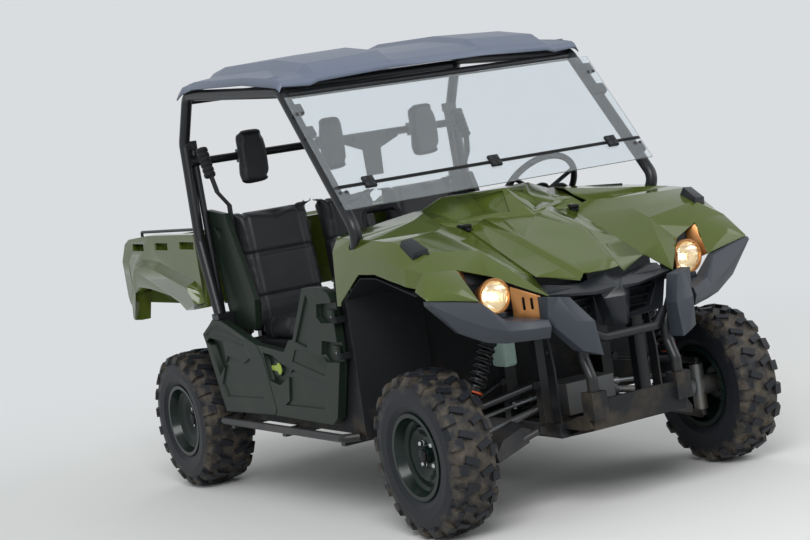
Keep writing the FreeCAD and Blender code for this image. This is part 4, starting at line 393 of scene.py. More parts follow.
spring_coat = finish("epoxy_coated_spring_wire", spring_hex, dust=(0.8, 0.35, 30.0),
                     Roughness=0.3, Metallic=0.4)
ring_paint = finish("orange_spring_preload_ring", ring_hex, grain=(4.0, 0.02, 1.0), Roughness=0.4)
ring_profile = ((0.016, 0.0), (0.032, 0.0), (0.033, 0.002), (0.033, 0.007), (0.031, 0.009), (0.016, 0.009),
                (0.016, 0.0))
paint_node("shocks", powder_coat)
for end in ("front", "rear"):
    axis = shock_head[end] - shock_foot[end]
    lean = axis.to_track_quat("Z", "Y").to_matrix().to_4x4()
    bpy.ops.object.select_all(action="DESELECT")
    bpy.ops.mesh.primitive_circle_add(vertices=8, radius=spring_wire, rotation=(math.pi / 2, 0.0, 0.0),
                                      location=(spring_radius + spring_wire, 0.0, 0.0))
    coil = settled(bpy.context.object, "coil_spring_" + end + "_left")
    turn = coil.modifiers.new("wind", "SCREW")
    turn.axis = "Z"
    turn.screw_offset = axis.length * spring_share / spring_turns
    turn.iterations = spring_turns
    turn.steps = 24
    turn.render_steps = 24
    bpy.ops.object.modifier_apply(modifier="wind")
    edit_all()
    bpy.ops.mesh.remove_doubles(threshold=weld_distance)
    bpy.ops.mesh.select_non_manifold()
    bpy.ops.mesh.edge_face_add()
    bpy.ops.mesh.select_all(action="SELECT")
    bpy.ops.mesh.normals_make_consistent(inside=False)
    edit_done()
    bpy.ops.object.shade_smooth()
    coil.data.transform(Matrix.Translation(shock_foot[end] + axis * spring_start) @ lean)
    both_sides(coil, spring_coat, "chassis")
    ring = turned_piece("preload_ring_" + end + "_left", ring_profile)
    ring.data.transform(Matrix.Translation(shock_foot[end] + axis * ring_start) @ lean)
    both_sides(ring, ring_paint, "chassis")

# Tyres: all-terrain carcasses of carbon-black rubber. The lugs' tops are rubbed dark and clean, tan dust sits
# in the valleys and on the shoulders, and the sidewalls stay nearly bare.

rubber_hex = "1C1F24"
mud_hex = "8A7D69"
tyre_axles = {"front": -1.103, "rear": 1.037}
tyre_centre_z = 0.3175
valley_band = (0.304, 0.314)
valley_dust = (0.24, -0.08)
sidewall_band = (0.235, 0.290)
sidewall_dust = -0.24
mud_threshold = (0.62, 1.10)
mud_share = 0.62
rubber_roughness = (0.48, 0.92)
sidewall_ribs_per_radian = 700.0
rib_share = 0.25

for end, axle_y in tyre_axles.items():
    tyre_rubber, tree, shader = new_material("dusty_tyre_rubber_" + end)
    place = own_place(tree)
    centred = node(tree, "ShaderNodeMapping", {"vector_type": "POINT"}, Vector=place,
                   Location=(0.0, -axle_y, -tyre_centre_z), Scale=(0.0, 1.0, 1.0)).outputs[0]
    radius = node(tree, "ShaderNodeVectorMath", {"operation": "LENGTH"}, i0=centred).outputs["Value"]
    valley = ranged(tree, radius, valley_band, valley_dust)
    wall = ranged(tree, radius, sidewall_band, (sidewall_dust, 0.0))
    outside = reckoned(tree, "ADD", noise(tree, place, 16.0, 7.0, 0.65), wall)
    cover = ranged(tree, reckoned(tree, "ADD", outside, valley), mud_threshold, (0.0, mud_share))
    ribs = reckoned(tree, "SINE", reckoned(tree, "MULTIPLY", radius, sidewall_ribs_per_radian))
    relief = reckoned(tree, "MULTIPLY_ADD", ribs, rib_share, noise(tree, place, 320.0, 4.0))
    edge = node(tree, "ShaderNodeBevel", {"samples": 4}, Radius=0.003)
    bump = node(tree, "ShaderNodeBump", None, Strength=0.6, Distance=0.0008, Height=relief,
                Normal=edge.outputs[0])
    plug(tree, shader, Base_Color=blend(tree, cover, linear(rubber_hex), linear(mud_hex)),
         Roughness=ranged(tree, cover, (0.0, 1.0), rubber_roughness), Specular_IOR_Level=matt_specular,
         Normal=bump.outputs[0])
    for side in ("left", "right"):
        paint_node("tyre_" + end + "_" + side, tyre_rubber)

# Rims: stepped steel discs pressed and welded to the barrel, in gloss black with a green cast. Four chromed
# lug nuts and a domed centre cap hold each one to its hub, and a rubber valve stem stands near the flange.

rim_hex = "0A1A17"
nut_hex = "C9CCCE"
cap_hex = "0C0E10"
nut_circle = 0.055
nut_radius = 0.0105
nut_height = 0.017
nut_foot = nut_radius * 1.25
nut_tip = nut_radius * 0.72
cap_out = 0.026
valve_out = 0.014
valve_circle = 0.112
disc_face = {"front": 0.672 + 0.1015 * 0.80 * 0.30, "rear": 0.658 + 0.127 * 0.80 * 0.30}

rim_paint = finish("gloss_black_rim_enamel", rim_hex, dust=(0.7, 0.015, 50.0), grain=(8.0, 0.03),
                   Roughness=0.24, Specular_IOR_Level=matt_specular, Coat_Weight=0.15, Coat_Roughness=0.12)
chrome = finish("chromed_steel", nut_hex, grain=(3.0, 0.02, 1.0), Roughness=0.16, Metallic=1.0)
cap_plastic = finish("satin_black_nylon", cap_hex, dust=(0.6, 0.02, 40.0), grain=(2.0, 0.05),
                     Roughness=0.34, Specular_IOR_Level=matt_specular)

nut_profile = ((0.0, 0.0), (nut_foot, 0.0), (nut_foot, 0.002), (nut_radius, 0.003),
               (nut_radius, nut_height - 0.003), (nut_tip, nut_height), (0.0, nut_height))
cap_profile = ((0.0, -0.004), (0.0265, -0.004), (0.027, 0.004), (0.025, 0.009), (0.016, 0.0125),
               (0.0, 0.0135))
valve_profile = ((0.0, -0.004), (0.0065, -0.004), (0.0055, 0.012), (0.0036, 0.016), (0.0036, 0.032),
                 (0.0, 0.032))
lug_nut = turned_piece("lug_nut_pattern", nut_profile, 6, False)
hub_cap = turned_piece("hub_cap_pattern", cap_profile)
valve = turned_piece("valve_pattern", valve_profile, 16)
outward = Matrix.Rotation(math.pi / 2, 4, "Y")
for end, axle_y in tyre_axles.items():
    hub = Matrix.Translation((disc_face[end], axle_y, tyre_centre_z))
    nuts = []
    for quarter in range(4):
        round_hub = Matrix.Rotation(math.radians(45.0 + 90.0 * quarter), 4, "X")
        spot = round_hub @ Matrix.Translation((0.0, 0.0, nut_circle))
        nuts.append(copied(lug_nut, "nut", hub @ spot @ outward))
    nuts = joined(nuts, "lug_nuts_" + end + "_left")
    cap_place = hub @ Matrix.Translation((cap_out, 0.0, 0.0)) @ outward
    cap = copied(hub_cap, "centre_cap_" + end + "_left", cap_place)
    valve_place = hub @ Matrix.Translation((valve_out, 0.0, valve_circle)) @ outward
    stem = copied(valve, "valve_stem_" + end + "_left", valve_place)
    for side in ("left", "right"):
        paint_node("rim_" + end + "_" + side, rim_paint)
    wheel = "wheel_" + end + "_left"
    both_sides(nuts, chrome, wheel)
    both_sides(cap, cap_plastic, wheel)
    both_sides(stem, cap_plastic, wheel)
for pattern in (lug_nut, hub_cap, valve):
    bpy.data.objects.remove(pattern)

# Doors, quarter panels and side shields: deep injection mouldings in dark green-black, matt on their faces
# and paler where their chamfered edges catch the light. Seat pads rest beside the shields.

door_hex = "19241C"


def softened(node_name, width, low_angle, high_angle, soft_angle=32.0, segments=2):
    """Copy of a moulded CAD piece, merged, with its creases rounded, that stands for the CAD piece."""
    mesh = node_object[node_name].data.copy()
    piece = bpy.data.objects.new(node_name + "_moulding", mesh)
    bpy.context.scene.collection.objects.link(piece)
    alone(piece)
    edit_all()
    bpy.ops.mesh.remove_doubles(threshold=2.0 * weld_distance)
    bpy.ops.mesh.dissolve_limited(angle_limit=math.radians(0.6))
    bpy.ops.mesh.select_all(action="DESELECT")
    edit_mesh = bmesh.from_edit_mesh(mesh)
    for edge in edit_mesh.edges:
        if len(edge.link_faces) == 2 and edge.calc_length() > width * 1.5:
            edge.select_set(math.radians(low_angle) < edge.calc_face_angle() < math.radians(high_angle))
    bmesh.update_edit_mesh(mesh)
    bpy.ops.mesh.bevel(offset=width, offset_type="WIDTH", segments=segments, affect="EDGES",
                       clamp_overlap=True)
    edit_done()
    bpy.ops.object.shade_smooth_by_angle(angle=math.radians(soft_angle))
    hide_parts(node_name)
    return piece


door_plastic = finish("dark_green_tpo_moulding", door_hex, dust=(0.60, 0.08), grain=(2.2, 0.12, 3.5),
                      Roughness=0.42, Specular_IOR_Level=matt_specular)
for name in ("door_left", "door_right", "quarter_panels", "side_shields"):
    dressed(softened(name, 0.0035, 35.0, 130.0, 20.0, 1), door_plastic, carried_by[name])

# Roof, bumper wings and guards: thermoformed and moulded slate-grey plastic, satin. The roof's dark sheet
# is given a pale blue-grey colour that paints in the sky's reflection, and the guards have crisp facets whose
# edges are eased.

slate_hex = "32373E"
# The roof's pale blue-grey is a painted reflection of the sky on its dark slate sheet.
roof_painted_sky_hex = "687182"
slate_finish = {"dust": (0.8, 0.12), "grain": (2.0, 0.08, 4.0), "Roughness": 0.42, "Specular_IOR_Level": 0.35}

slate_plastic = finish("thermoformed_slate_hdpe", slate_hex, **slate_finish)
roof_plastic = finish("slate_hdpe_painted_sky_reflection", roof_painted_sky_hex, **slate_finish)
dressed(softened("roof", 0.005, 8.0, 80.0, 50.0), roof_plastic, "chassis")
dressed(softened("bumper_guards", 0.004, 14.0, 130.0, 25.0), slate_plastic, "chassis")

# Body panels: hood, fenders, cowl and bed in olive moulded through the plastic, so the gloss comes from the
# mould. It mirrors the sky as a pale sheen on what faces up and keeps a deep green where it turns under.

olive_hex = "525E24"
olive_shade_hex = "47531D"
body_wave_mm = 260.0
olive_roughness = (0.10, 0.20)
crease_limit = 75.0
edge_limit = 130.0

olive_plastic, tree, shader = new_material("gloss_olive_polypropylene")
cloud = noise(tree, own_place(tree), 1000.0 / body_wave_mm, 3.0)
mottled = blend(tree, cloud, linear(olive_hex), linear(olive_shade_hex))
plug(tree, shader, Base_Color=dusty(tree, mottled, 0.8, 0.15),
     Roughness=ranged(tree, cloud, (0.0, 1.0), olive_roughness), Specular_IOR_Level=0.3, Coat_Weight=0.4,
     Coat_Roughness=0.06)
pebbled(tree, shader, 9.0, 0.035, 4.0)

for name, width, low_angle, high_angle in (("hood", 0.010, 5.0, crease_limit),
                                           ("front_fender_left", 0.012, 9.0, crease_limit),
                                           ("front_fender_right", 0.012, 9.0, crease_limit),
                                           ("cowl", 0.006, 16.0, crease_limit),
                                           ("bed_tub", 0.007, 24.0, edge_limit),
                                           ("tailgate", 0.004, 40.0, edge_limit)):
    moulding = softened(name, width, low_angle, high_angle, 38.0)
    dressed(moulding, olive_plastic, carried_by[name])

# Nose panel and the marker blocks on the fenders: satin black mouldings. The nose has a brow, a prow and
# slats over the radiator's intake.

nose_hex = "1D2024"

nose_plastic = finish("satin_black_abs", nose_hex, dust=(0.6, 0.15), grain=(2.5, 0.06, 3.0),
                      Roughness=0.33, Specular_IOR_Level=0.35)
for name in ("nose_panel", "marker_blocks"):
    dressed(softened(name, 0.003, 20.0, 130.0, 25.0), nose_plastic, "chassis")

# Fender corners: the lower front corner of each fender, a separate moulding in the same olive that laps the
# flank, frames the headlight's outer side and comes down on the bumper's wing.

corner_points = ((0.5605, -1.2615, 0.9905), (0.7045, -1.2635, 1.0025), (0.7485, -1.2625, 0.9405),
                 (0.6505, -1.3315, 0.9285), (0.534, -1.3465, 0.868), (0.640, -1.3440, 0.8885),
                 (0.7465, -1.3360, 0.9065))
corner_faces = ((3, 1, 0), (4, 3, 0), (5, 3, 4), (5, 6, 3), (6, 2, 1), (3, 6, 1))
corner_wall = 0.003
corner_rounding = 0.0012

corner = from_points("fender_corner_left", corner_points, (), corner_faces)
edit_all()
bpy.ops.mesh.normals_make_consistent(inside=False)
edit_done()
if corner.data.polygons[1].normal.y > 0.0:
    corner.data.flip_normals()
wall = corner.modifiers.new("wall", "SOLIDIFY")
wall.thickness = corner_wall
wall.offset = -1.0
bpy.ops.object.modifier_apply(modifier="wall")
rounding = corner.modifiers.new("rounding", "BEVEL")
rounding.width = corner_rounding
rounding.segments = 2
rounding.limit_method = "ANGLE"
rounding.angle_limit = math.radians(20.0)
bpy.ops.object.modifier_apply(modifier="rounding")
bpy.ops.object.shade_smooth_by_angle(angle=math.radians(38.0))
both_sides(corner, olive_plastic, "chassis")

# Windshield: two flat panes of hard-coated polycarbonate, faintly hazy, joined along a rubber seam. Three
# black hinges sit on the seam and clamps hold the panes to the pillars, each with button-head screws.

pane_hex = "EDF4F8"
pane_haze = 0.05
pane_index = 1.58
seal_hex = "141517"
seal_size = (1.472, 0.0095, 0.013)
pane_hinge = Vector((0.0, -0.747, 1.339))
pane_lean = math.radians(38.8)
rod_radius = 0.0038
rod_half = 0.72
hinge_places = (-0.585, 0.0, 0.585)
hinge_screw_across = 0.015
hinge_screw_up = 0.014
hinge_face = 0.012
pillar_face = 0.0005
pillar_screws = ((0.697, -0.763, 1.3185), (0.723, -0.763, 1.3185),
                 (0.697, -0.503, 1.6425), (0.723, -0.503, 1.6425))

polycarbonate, tree, shader = new_material("hard_coated_polycarbonate")
film = noise(tree, own_place(tree), 7.0, 6.0, 0.7)
plug(tree, shader, Base_Color=linear(pane_hex), Transmission_Weight=0.93, IOR=pane_index,
     Roughness=ranged(tree, film, (0.35, 0.8), (0.0, pane_haze)))
paint_node("windshield_panes", polycarbonate)
seal_rubber = finish("extruded_black_rubber", seal_hex, dust=(0.5, 0.2), grain=(1.5, 0.05, 1.5),
                     Roughness=0.62)


def block(name, size, place, turn=None, bevel=0.0015, segments=2):
    """Box with eased edges: made at its size, turned, put in its place, with all of that in its mesh."""
    bpy.ops.object.select_all(action="DESELECT")
    bpy.ops.mesh.primitive_cube_add(size=1.0)
    piece = bpy.context.object
    piece.scale = size
    bpy.ops.object.transform_apply(location=False, rotation=False, scale=True)
    edit_all()
    bpy.ops.mesh.bevel(offset=bevel, segments=segments, affect="EDGES")
    edit_done()
    bpy.ops.object.shade_smooth_by_angle(angle=smooth_angle)
    piece.data.transform(Matrix.Translation(place) @ (turn or Matrix.Identity(4)))
    piece.name = name
    piece.data.name = name
    return piece


def on_pane(x, distance, out):
    """Place on the panes' outer plane: across, up from the hinge line and out from the pane, in metres."""
    up = Vector((0.0, math.sin(pane_lean), math.cos(pane_lean)))
    outside = Vector((0.0, -math.cos(pane_lean), math.sin(pane_lean)))
    return pane_hinge + Vector((x, 0.0, 0.0)) + up * distance + outside * out


lean_turn = Matrix.Rotation(-pane_lean, 4, "X")
seam = block("windshield_seam_seal", seal_size, on_pane(0.0, 0.0, -0.0025), lean_turn, 0.002)
dressed(seam, seal_rubber, "chassis")
rod_profile = ((0.0, -rod_half), (rod_radius, -rod_half), (rod_radius, rod_half), (0.0, rod_half))
rod = turned_piece("windshield_hinge_rod", rod_profile, 12)
rod.data.transform(Matrix.Translation(on_pane(0.0, 0.0, 0.0055)) @ Matrix.Rotation(math.pi / 2, 4, "Y"))
dressed(rod, powder_coat, "chassis")

screw_profile = ((0.0, 0.0012), (0.0028, 0.0012), (0.0032, 0.0040), (0.0050, 0.0034), (0.0068, 0.0018),
                 (0.0072, 0.0), (0.0072, -0.003), (0.0, -0.003))
button_head = turned_piece("button_head_pattern", screw_profile, 20)
facing = Matrix.Rotation(math.pi / 2 - pane_lean, 4, "X")
spots = []
for x in hinge_places:
    for side in (-1.0, 1.0):
        for up in (-hinge_screw_up, hinge_screw_up):
            spots.append(on_pane(x + side * hinge_screw_across, up, hinge_face))
for x, y, z in pillar_screws:
    above = 1.0 if z > pane_hinge.z else -1.0
    distance = (Vector((0.0, y, z)) - pane_hinge).length * above
    for side in (-1.0, 1.0):
        spots.append(on_pane(side * x, distance, pillar_face))
screws = joined([copied(button_head, "screw", Matrix.Translation(spot) @ facing) for spot in spots],
                "windshield_screws")
dressed(screws, arm_guard, "chassis")
bpy.data.objects.remove(button_head)

# Headlights: a bucket with a copper-coloured ring, a metallised reflector with a painted glow of its lit
# bulb, the bulb alight, and a clear moulded lens with shallow ribs. A moulded foot stands on the bumper's
# wing.

lamp_place = Vector((0.452, -1.322, 0.872))
lamp_radius = 0.066
foot_size = (0.028, 0.056, 0.027)
foot_place = (0.444, -1.331, 0.7985)
copper_hex = "B07A45"
bulb_hex = "FFD9A0"
bulb_strength = 5.0
reflector_hex = "F2E3CC"
reflector_painted_glow_strength = 0.25
lens_index = 1.50
flute_scale = 70.0

copper_paint = finish("copper_metallic_lacquer", copper_hex, dust=(0.8, 0.2, 40.0), grain=(1.2, 0.02, 1.5),
                      Roughness=0.32, Metallic=0.75, Coat_Weight=0.3)
# The reflector's emission is a painted glow of the bulb's light on it; the reflector itself is no lamp.
reflector_chrome = finish("vacuum_metallised_reflector", reflector_hex, grain=(12.0, 0.3, 1.0),
                          Roughness=0.12, Metallic=1.0, Emission_Color=linear(bulb_hex),
                          Emission_Strength=reflector_painted_glow_strength)
bulb_glow = finish("lit_halogen_bulb", bulb_hex, Emission_Color=linear(bulb_hex),
                   Emission_Strength=bulb_strength)
lens_glass, tree, shader = new_material("moulded_lens_polycarbonate")
flutes = node(tree, "ShaderNodeTexVoronoi", {"feature": "F1"}, Vector=own_place(tree), Scale=flute_scale)
bump = node(tree, "ShaderNodeBump", None, Strength=0.5, Distance=0.002, Height=flutes.outputs["Distance"])
plug(tree, shader, Base_Color=linear(pane_hex), Transmission_Weight=0.97, Roughness=0.03, IOR=lens_index,
     Normal=bump.outputs[0])

shell_profile = ((0.0, -0.079), (0.038, -0.079), (0.040, -0.077), (lamp_radius - 0.003, -0.012),
                 (lamp_radius + 0.0015, -0.008), (lamp_radius + 0.0015, 0.006), (lamp_radius - 0.001, 0.009),
                 (lamp_radius - 0.006, 0.009), (lamp_radius - 0.007, 0.002), (lamp_radius - 0.009, -0.010),
                 (0.030, -0.070), (0.0, -0.072))
reflector_profile = ((0.0, -0.068), (0.012, -0.066), (0.026, -0.056), (0.039, -0.041), (0.049, -0.024),
                     (lamp_radius - 0.0105, -0.006), (lamp_radius - 0.0085, -0.006), (0.050, -0.030),
                     (0.039, -0.047), (0.026, -0.061), (0.012, -0.0695), (0.0, -0.0700))
bulb_profile = ((0.0, -0.065), (0.010, -0.063), (0.011, -0.040), (0.008, -0.032), (0.0, -0.029))
lens_profile = ((0.0, 0.0205), (0.020, 0.0185), (0.040, 0.013), (0.054, 0.004),
                (lamp_radius - 0.0075, -0.003), (lamp_radius - 0.0085, -0.0045), (0.052, 0.001),
                (0.039, 0.010), (0.020, 0.0155), (0.0, 0.0175))
face_forward = Matrix.Translation(lamp_place) @ Matrix.Rotation(math.pi / 2, 4, "X")
for name, profile, material, slot in (("bucket", shell_profile, copper_paint, "copper_trim"),
                                      ("reflector", reflector_profile, reflector_chrome, "plain_steel"),
                                      ("bulb", bulb_profile, bulb_glow, "lamp_lens"),
                                      ("lens", lens_profile, lens_glass, "lamp_lens")):
    piece = turned_piece("headlight_" + name + "_left", profile, 48)
    piece.data.transform(face_forward)
    both_sides(piece, material, "chassis")
    if name == "bucket":
        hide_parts("headlights")
foot = block("headlight_foot_left", foot_size, foot_place, None, 0.003)
both_sides(foot, nose_plastic, "chassis")
dressed(softened("lamp_trims", 0.0012, 60.0, 130.0), copper_paint, "chassis")

# Headlight recess: a copper-coloured wall outboard of each lamp and a black shroud behind it, which close the
# recess between the lamp, the fender and the wing.

recess_wall = ((0.562, -1.338, 0.871), (0.556, -1.266, 0.984), (0.521, -1.243, 0.972), (0.524, -1.250, 0.842))
recess_back = ((0.524, -1.250, 0.842), (0.521, -1.243, 0.972), (0.380, -1.238, 0.940), (0.380, -1.238, 0.790),
               (0.520, -1.240, 0.800))
recess_thickness = 0.0025


def plate(name, points, thickness):
    """Flat or folded plate through the points, given its wall and eased edges."""
    piece = from_points(name, points, (), (tuple(range(len(points))),))
    wall = piece.modifiers.new("wall", "SOLIDIFY")
    wall.thickness = thickness
    bpy.ops.object.modifier_apply(modifier="wall")
    edit_all()
    bpy.ops.mesh.normals_make_consistent(inside=False)
    bpy.ops.mesh.bevel(offset=thickness * 0.3, segments=2, affect="EDGES")
    edit_done()
    bpy.ops.object.shade_smooth_by_angle(angle=smooth_angle)
    return piece


wall = plate("lamp_recess_wall_left", recess_wall, recess_thickness)
both_sides(wall, copper_paint, "chassis")
shroud = plate("lamp_recess_shroud_left", recess_back, recess_thickness)
both_sides(shroud, nose_plastic, "chassis")

# Hood latches: two quarter-turn latches of black nylon, set in the hood's seams. A chromed bail lies over
# each one.

latch_place = (0.261, -0.874, 1.106)
latch_slope = Matrix.Rotation(math.radians(21.0), 4, "X")
latch_turn = math.radians(-18.0)

for side, sign in (("left", 1.0), ("right", -1.0)):
    spot = Matrix.Translation((sign * latch_place[0], latch_place[1], latch_place[2]))
    turn = Matrix.Rotation(sign * latch_turn, 4, "Z") @ latch_slope
    base = block("latch_base", (0.030, 0.062, 0.009), (0.0, 0.0, 0.0), None, 0.003)
    knob = block("latch_knob", (0.040, 0.018, 0.016), (0.0, -0.010, 0.010), None, 0.004)
    body = joined([base, knob], "hood_latch_" + side)
    body.data.transform(spot @ turn)
    bail = block("hood_latch_bail_" + side, (0.006, 0.034, 0.004), (0.0, 0.012, 0.0075), None, 0.0015)
    bail.data.transform(spot @ turn)
    dressed(body, cap_plastic, "hood")
    dressed(bail, chrome, "hood")

# Seats and headrests: cut-and-sewn black vinyl over foam, one cushion and one back for each place. Each is
# inflated as cloth from its own solid, then gets its stitched channels, so its crown sags between the seams
# as stuffed foam does. The headrests clip to plates on the cage's cross tube.

vinyl_hex = "1D1E20"
vinyl_worn_hex = "2A2B2D"
pad_frames = 20
pad_pressure = 4.0
seat_split_z = 0.85
seat_wide_over = 0.4
headrest_wide_over = 0.14
side_seam = 0.62
seat_seams = {"cushion": (1, (0.30, 0.72)), "back": (2, (0.62, 0.30))}
seat_channel = (0.008, 0.014)
headrest_seam = 0.016
headrest_channel = (0.002, 0.006)

vinyl, tree, shader = new_material("grained_marine_vinyl")
place = own_place(tree)
tint = blend(tree, noise(tree, place, 9.0, 5.0), linear(vinyl_hex), linear(vinyl_worn_hex))
hide = node(tree, "ShaderNodeTexVoronoi", {"feature": "DISTANCE_TO_EDGE"}, Vector=place, Scale=420.0)
bump = node(tree, "ShaderNodeBump", None, Strength=0.35, Distance=0.0004, Height=hide.outputs["Distance"])
plug(tree, shader, Base_Color=tint, Roughness=0.46, Specular_IOR_Level=0.35, Normal=bump.outputs[0])


def loose_solids(node_name):
    """The CAD node's solids as separate objects, merged."""
    mesh = node_object[node_name].data.copy()
    piece = bpy.data.objects.new(node_name + "_solids", mesh)
    bpy.context.scene.collection.objects.link(piece)
    alone(piece)
    edit_all()
    bpy.ops.mesh.remove_doubles(threshold=2.0 * weld_distance)
    bpy.ops.mesh.separate(type="LOOSE")
    edit_done()
    return list(bpy.context.selected_objects)


def corners(piece):
    """Low and high corner of a piece's box."""
    spots = [vertex.co for vertex in piece.data.vertices]
    low = [min(spot[axis] for spot in spots) for axis in range(3)]
    high = [max(spot[axis] for spot in spots) for axis in range(3)]
    return low, high


def middle(piece):
    """Middle of a piece's box."""
    low, high = corners(piece)
    return Vector([(low[axis] + high[axis]) / 2 for axis in range(3)])


def stuffed(piece, voxel, shrink, cap):
    """Turns a plain solid into a stuffed pad: shrunk, remeshed, inflated as cloth and held within the cap."""
    alone(piece)
    centre = middle(piece)
    edit_all()
    bpy.ops.transform.resize(value=shrink, center_override=centre)
    bpy.ops.mesh.bevel(offset=voxel * 2.5, segments=3, affect="EDGES")
    edit_done()
    piece.data.remesh_voxel_size = voxel
    bpy.ops.object.voxel_remesh()
    start = [vertex.co.copy() for vertex in piece.data.vertices]
    cloth = piece.modifiers.new("stuffing", "CLOTH")
    cloth.settings.use_pressure = True
    cloth.settings.uniform_pressure_force = pad_pressure
    cloth.settings.effector_weights.gravity = 0.0
    for frame_number in range(1, pad_frames + 1):
        bpy.context.scene.frame_set(frame_number)
    bpy.ops.object.modifier_apply(modifier="stuffing")
    bpy.context.scene.frame_set(1)
    for vertex, before in zip(piece.data.vertices, start):
        moved = vertex.co - before
        if moved.length > cap:
            vertex.co = before + moved * (cap / moved.length)
    bpy.ops.object.shade_smooth()
    return piece


def channelled(piece, distance_to_seam, depth, reach):
    """Presses a sewn channel along the places where distance_to_seam(point) is near zero."""
    for vertex in piece.data.vertices:
        near = abs(distance_to_seam(vertex.co)) / reach
        if near < 1.0:
            vertex.co = vertex.co - vertex.normal * depth * (1.0 - near * near) ** 2
    return piece


def fitted(piece, low, high):
    """Evens out the pad's folds and keeps its points inside a box."""
    alone(piece)
    edit_all()
    bpy.ops.mesh.vertices_smooth(factor=0.5, repeat=6)
    edit_done()
    for vertex in piece.data.vertices:
        vertex.co = Vector([min(max(value, low[axis]), high[axis]) for axis, value in enumerate(vertex.co)])
    return piece


def seat_kind(low, high):
    """Kind and name of a seat pad, from its box."""
    form = "cushion" if (low[2] + high[2]) / 2 < seat_split_z else "back"
    kind = "seat_" + form + ("_wide" if high[0] - low[0] > seat_wide_over else "_narrow")
    return kind, kind


def headrest_kind(low, high):
    """Kind and name of a headrest, from its box."""
    return ("wide" if high[0] - low[0] > headrest_wide_over else "narrow"), "headrest"


def sewn_seat(pad, kind, low, high):
    """A channel down each side of a seat pad and two across it."""
    centre_x = (low[0] + high[0]) / 2
    half = (high[0] - low[0]) / 2
    channelled(pad, lambda spot: abs(spot.x - centre_x) - half * side_seam, *seat_channel)
    axis, stops = seat_seams["back" if "back" in kind else "cushion"]
    for stop in stops:
        seam = low[axis] + (high[axis] - low[axis]) * stop
        channelled(pad, lambda spot: spot[axis] - seam, *seat_channel)


def sewn_headrest(pad, kind, low, high):
    """One seam round the headrest's face."""
    channelled(pad, lambda spot: spot.y - (low[1] + headrest_seam), *headrest_channel)


def upholster(node_name, kind_of, sewn, voxel, shrink, cap):
    """Turns a CAD node's solids into pads; a solid of the same kind as one before gets a copy of its pad."""
    made = {}
    solids = sorted(loose_solids(node_name), key=lambda solid: (round(middle(solid).x, 3), middle(solid).z))
    for number, solid in enumerate(solids, 1):
        centre = middle(solid)
        low, high = corners(solid)
        kind, stem = kind_of(low, high)
        name = stem + "_" + str(number)
        if kind in made:
            pattern, pattern_centre = made[kind]
            pad = copied(pattern, name, Matrix.Translation(centre - pattern_centre))
            bpy.data.objects.remove(solid)
        else:
            pad = stuffed(solid, voxel, shrink, cap)
            fitted(pad, low, high)
            sewn(pad, kind, low, high)
            rounding = pad.modifiers.new("rounding", "SUBSURF")
            rounding.levels = 1
            rounding.render_levels = 1
            alone(pad)
            bpy.ops.object.modifier_apply(modifier="rounding")
            pad.name = name
            made[kind] = (pad, centre)
        dressed(pad, vinyl, "chassis")
        if number == 1:
            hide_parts(node_name)


upholster("seat_pads", seat_kind, sewn_seat, 0.008, (0.955, 0.93, 0.95), 0.022)
upholster("headrest_pads", headrest_kind, sewn_headrest, 0.0055, (0.93, 0.86, 0.95), 0.010)

# Belts: woven polyester webbing, black with a fine twill, running out of a ribbed rubber boot by the cage's
# post. Boot and webbing are one piece and share the finish.

webbing_hex = "0F1012"
webbing_twill_hex = "1B1C1E"

webbing, tree, shader = new_material("woven_polyester_webbing")
twill = node(tree, "ShaderNodeTexWave", {"wave_type": "BANDS", "bands_direction": "DIAGONAL"},
             Vector=own_place(tree), Scale=160.0, Distortion=0.6).outputs["Fac"]
bump = node(tree, "ShaderNodeBump", None, Strength=0.5, Distance=0.0005, Height=twill)
plug(tree, shader, Base_Color=blend(tree, twill, linear(webbing_hex), linear(webbing_twill_hex)),
     Roughness=0.7, Specular_IOR_Level=matt_specular, Sheen_Weight=0.06, Normal=bump.outputs[0])
paint_node("belts", webbing)

# Steering wheel: foamed polyurethane over a steel core, soft black with a stippled grain. A nylon pad covers
# its hub.

grip_hex = "191A1C"
wheel_centre = Vector((0.400, -0.470, 1.150))
wheel_rake = math.radians(38.0)
pad_out = 0.026

grip_foam = finish("stippled_polyurethane_grip", grip_hex, dust=(0.4, 0.2), grain=(1.0, 0.12, 2.0),
                   Roughness=0.58)
wheel_axis = Vector((0.0, math.cos(wheel_rake), math.sin(wheel_rake)))
dressed(softened("steering_wheel", 0.002, 50.0, 130.0, 40.0), grip_foam, "steering_wheel")
pad_profile = ((0.0, -0.004), (0.044, -0.004), (0.047, 0.004), (0.042, 0.013), (0.020, 0.018), (0.0, 0.019))
hub_pad = turned_piece("steering_hub_pad", pad_profile)
facing = wheel_axis.to_track_quat("Z", "Y").to_matrix().to_4x4()
hub_pad.data.transform(Matrix.Translation(wheel_centre + wheel_axis * pad_out) @ facing)
dressed(hub_pad, cap_plastic, "steering_wheel")

# Dash fittings: the instrument pod and the grab bar are part of the dash moulding. These are its round gauge
# rim and the row of rocker switches beside it.

gauge_place = Vector((0.400, -0.5845, 1.153))
gauge_tilt = math.radians(-52.0)
rocker_place = (0.130, -0.486, 1.098)
rocker_pitch = 0.034
rocker_size = (0.024, 0.014, 0.036)
rocker_tilt = math.radians(-21.0)

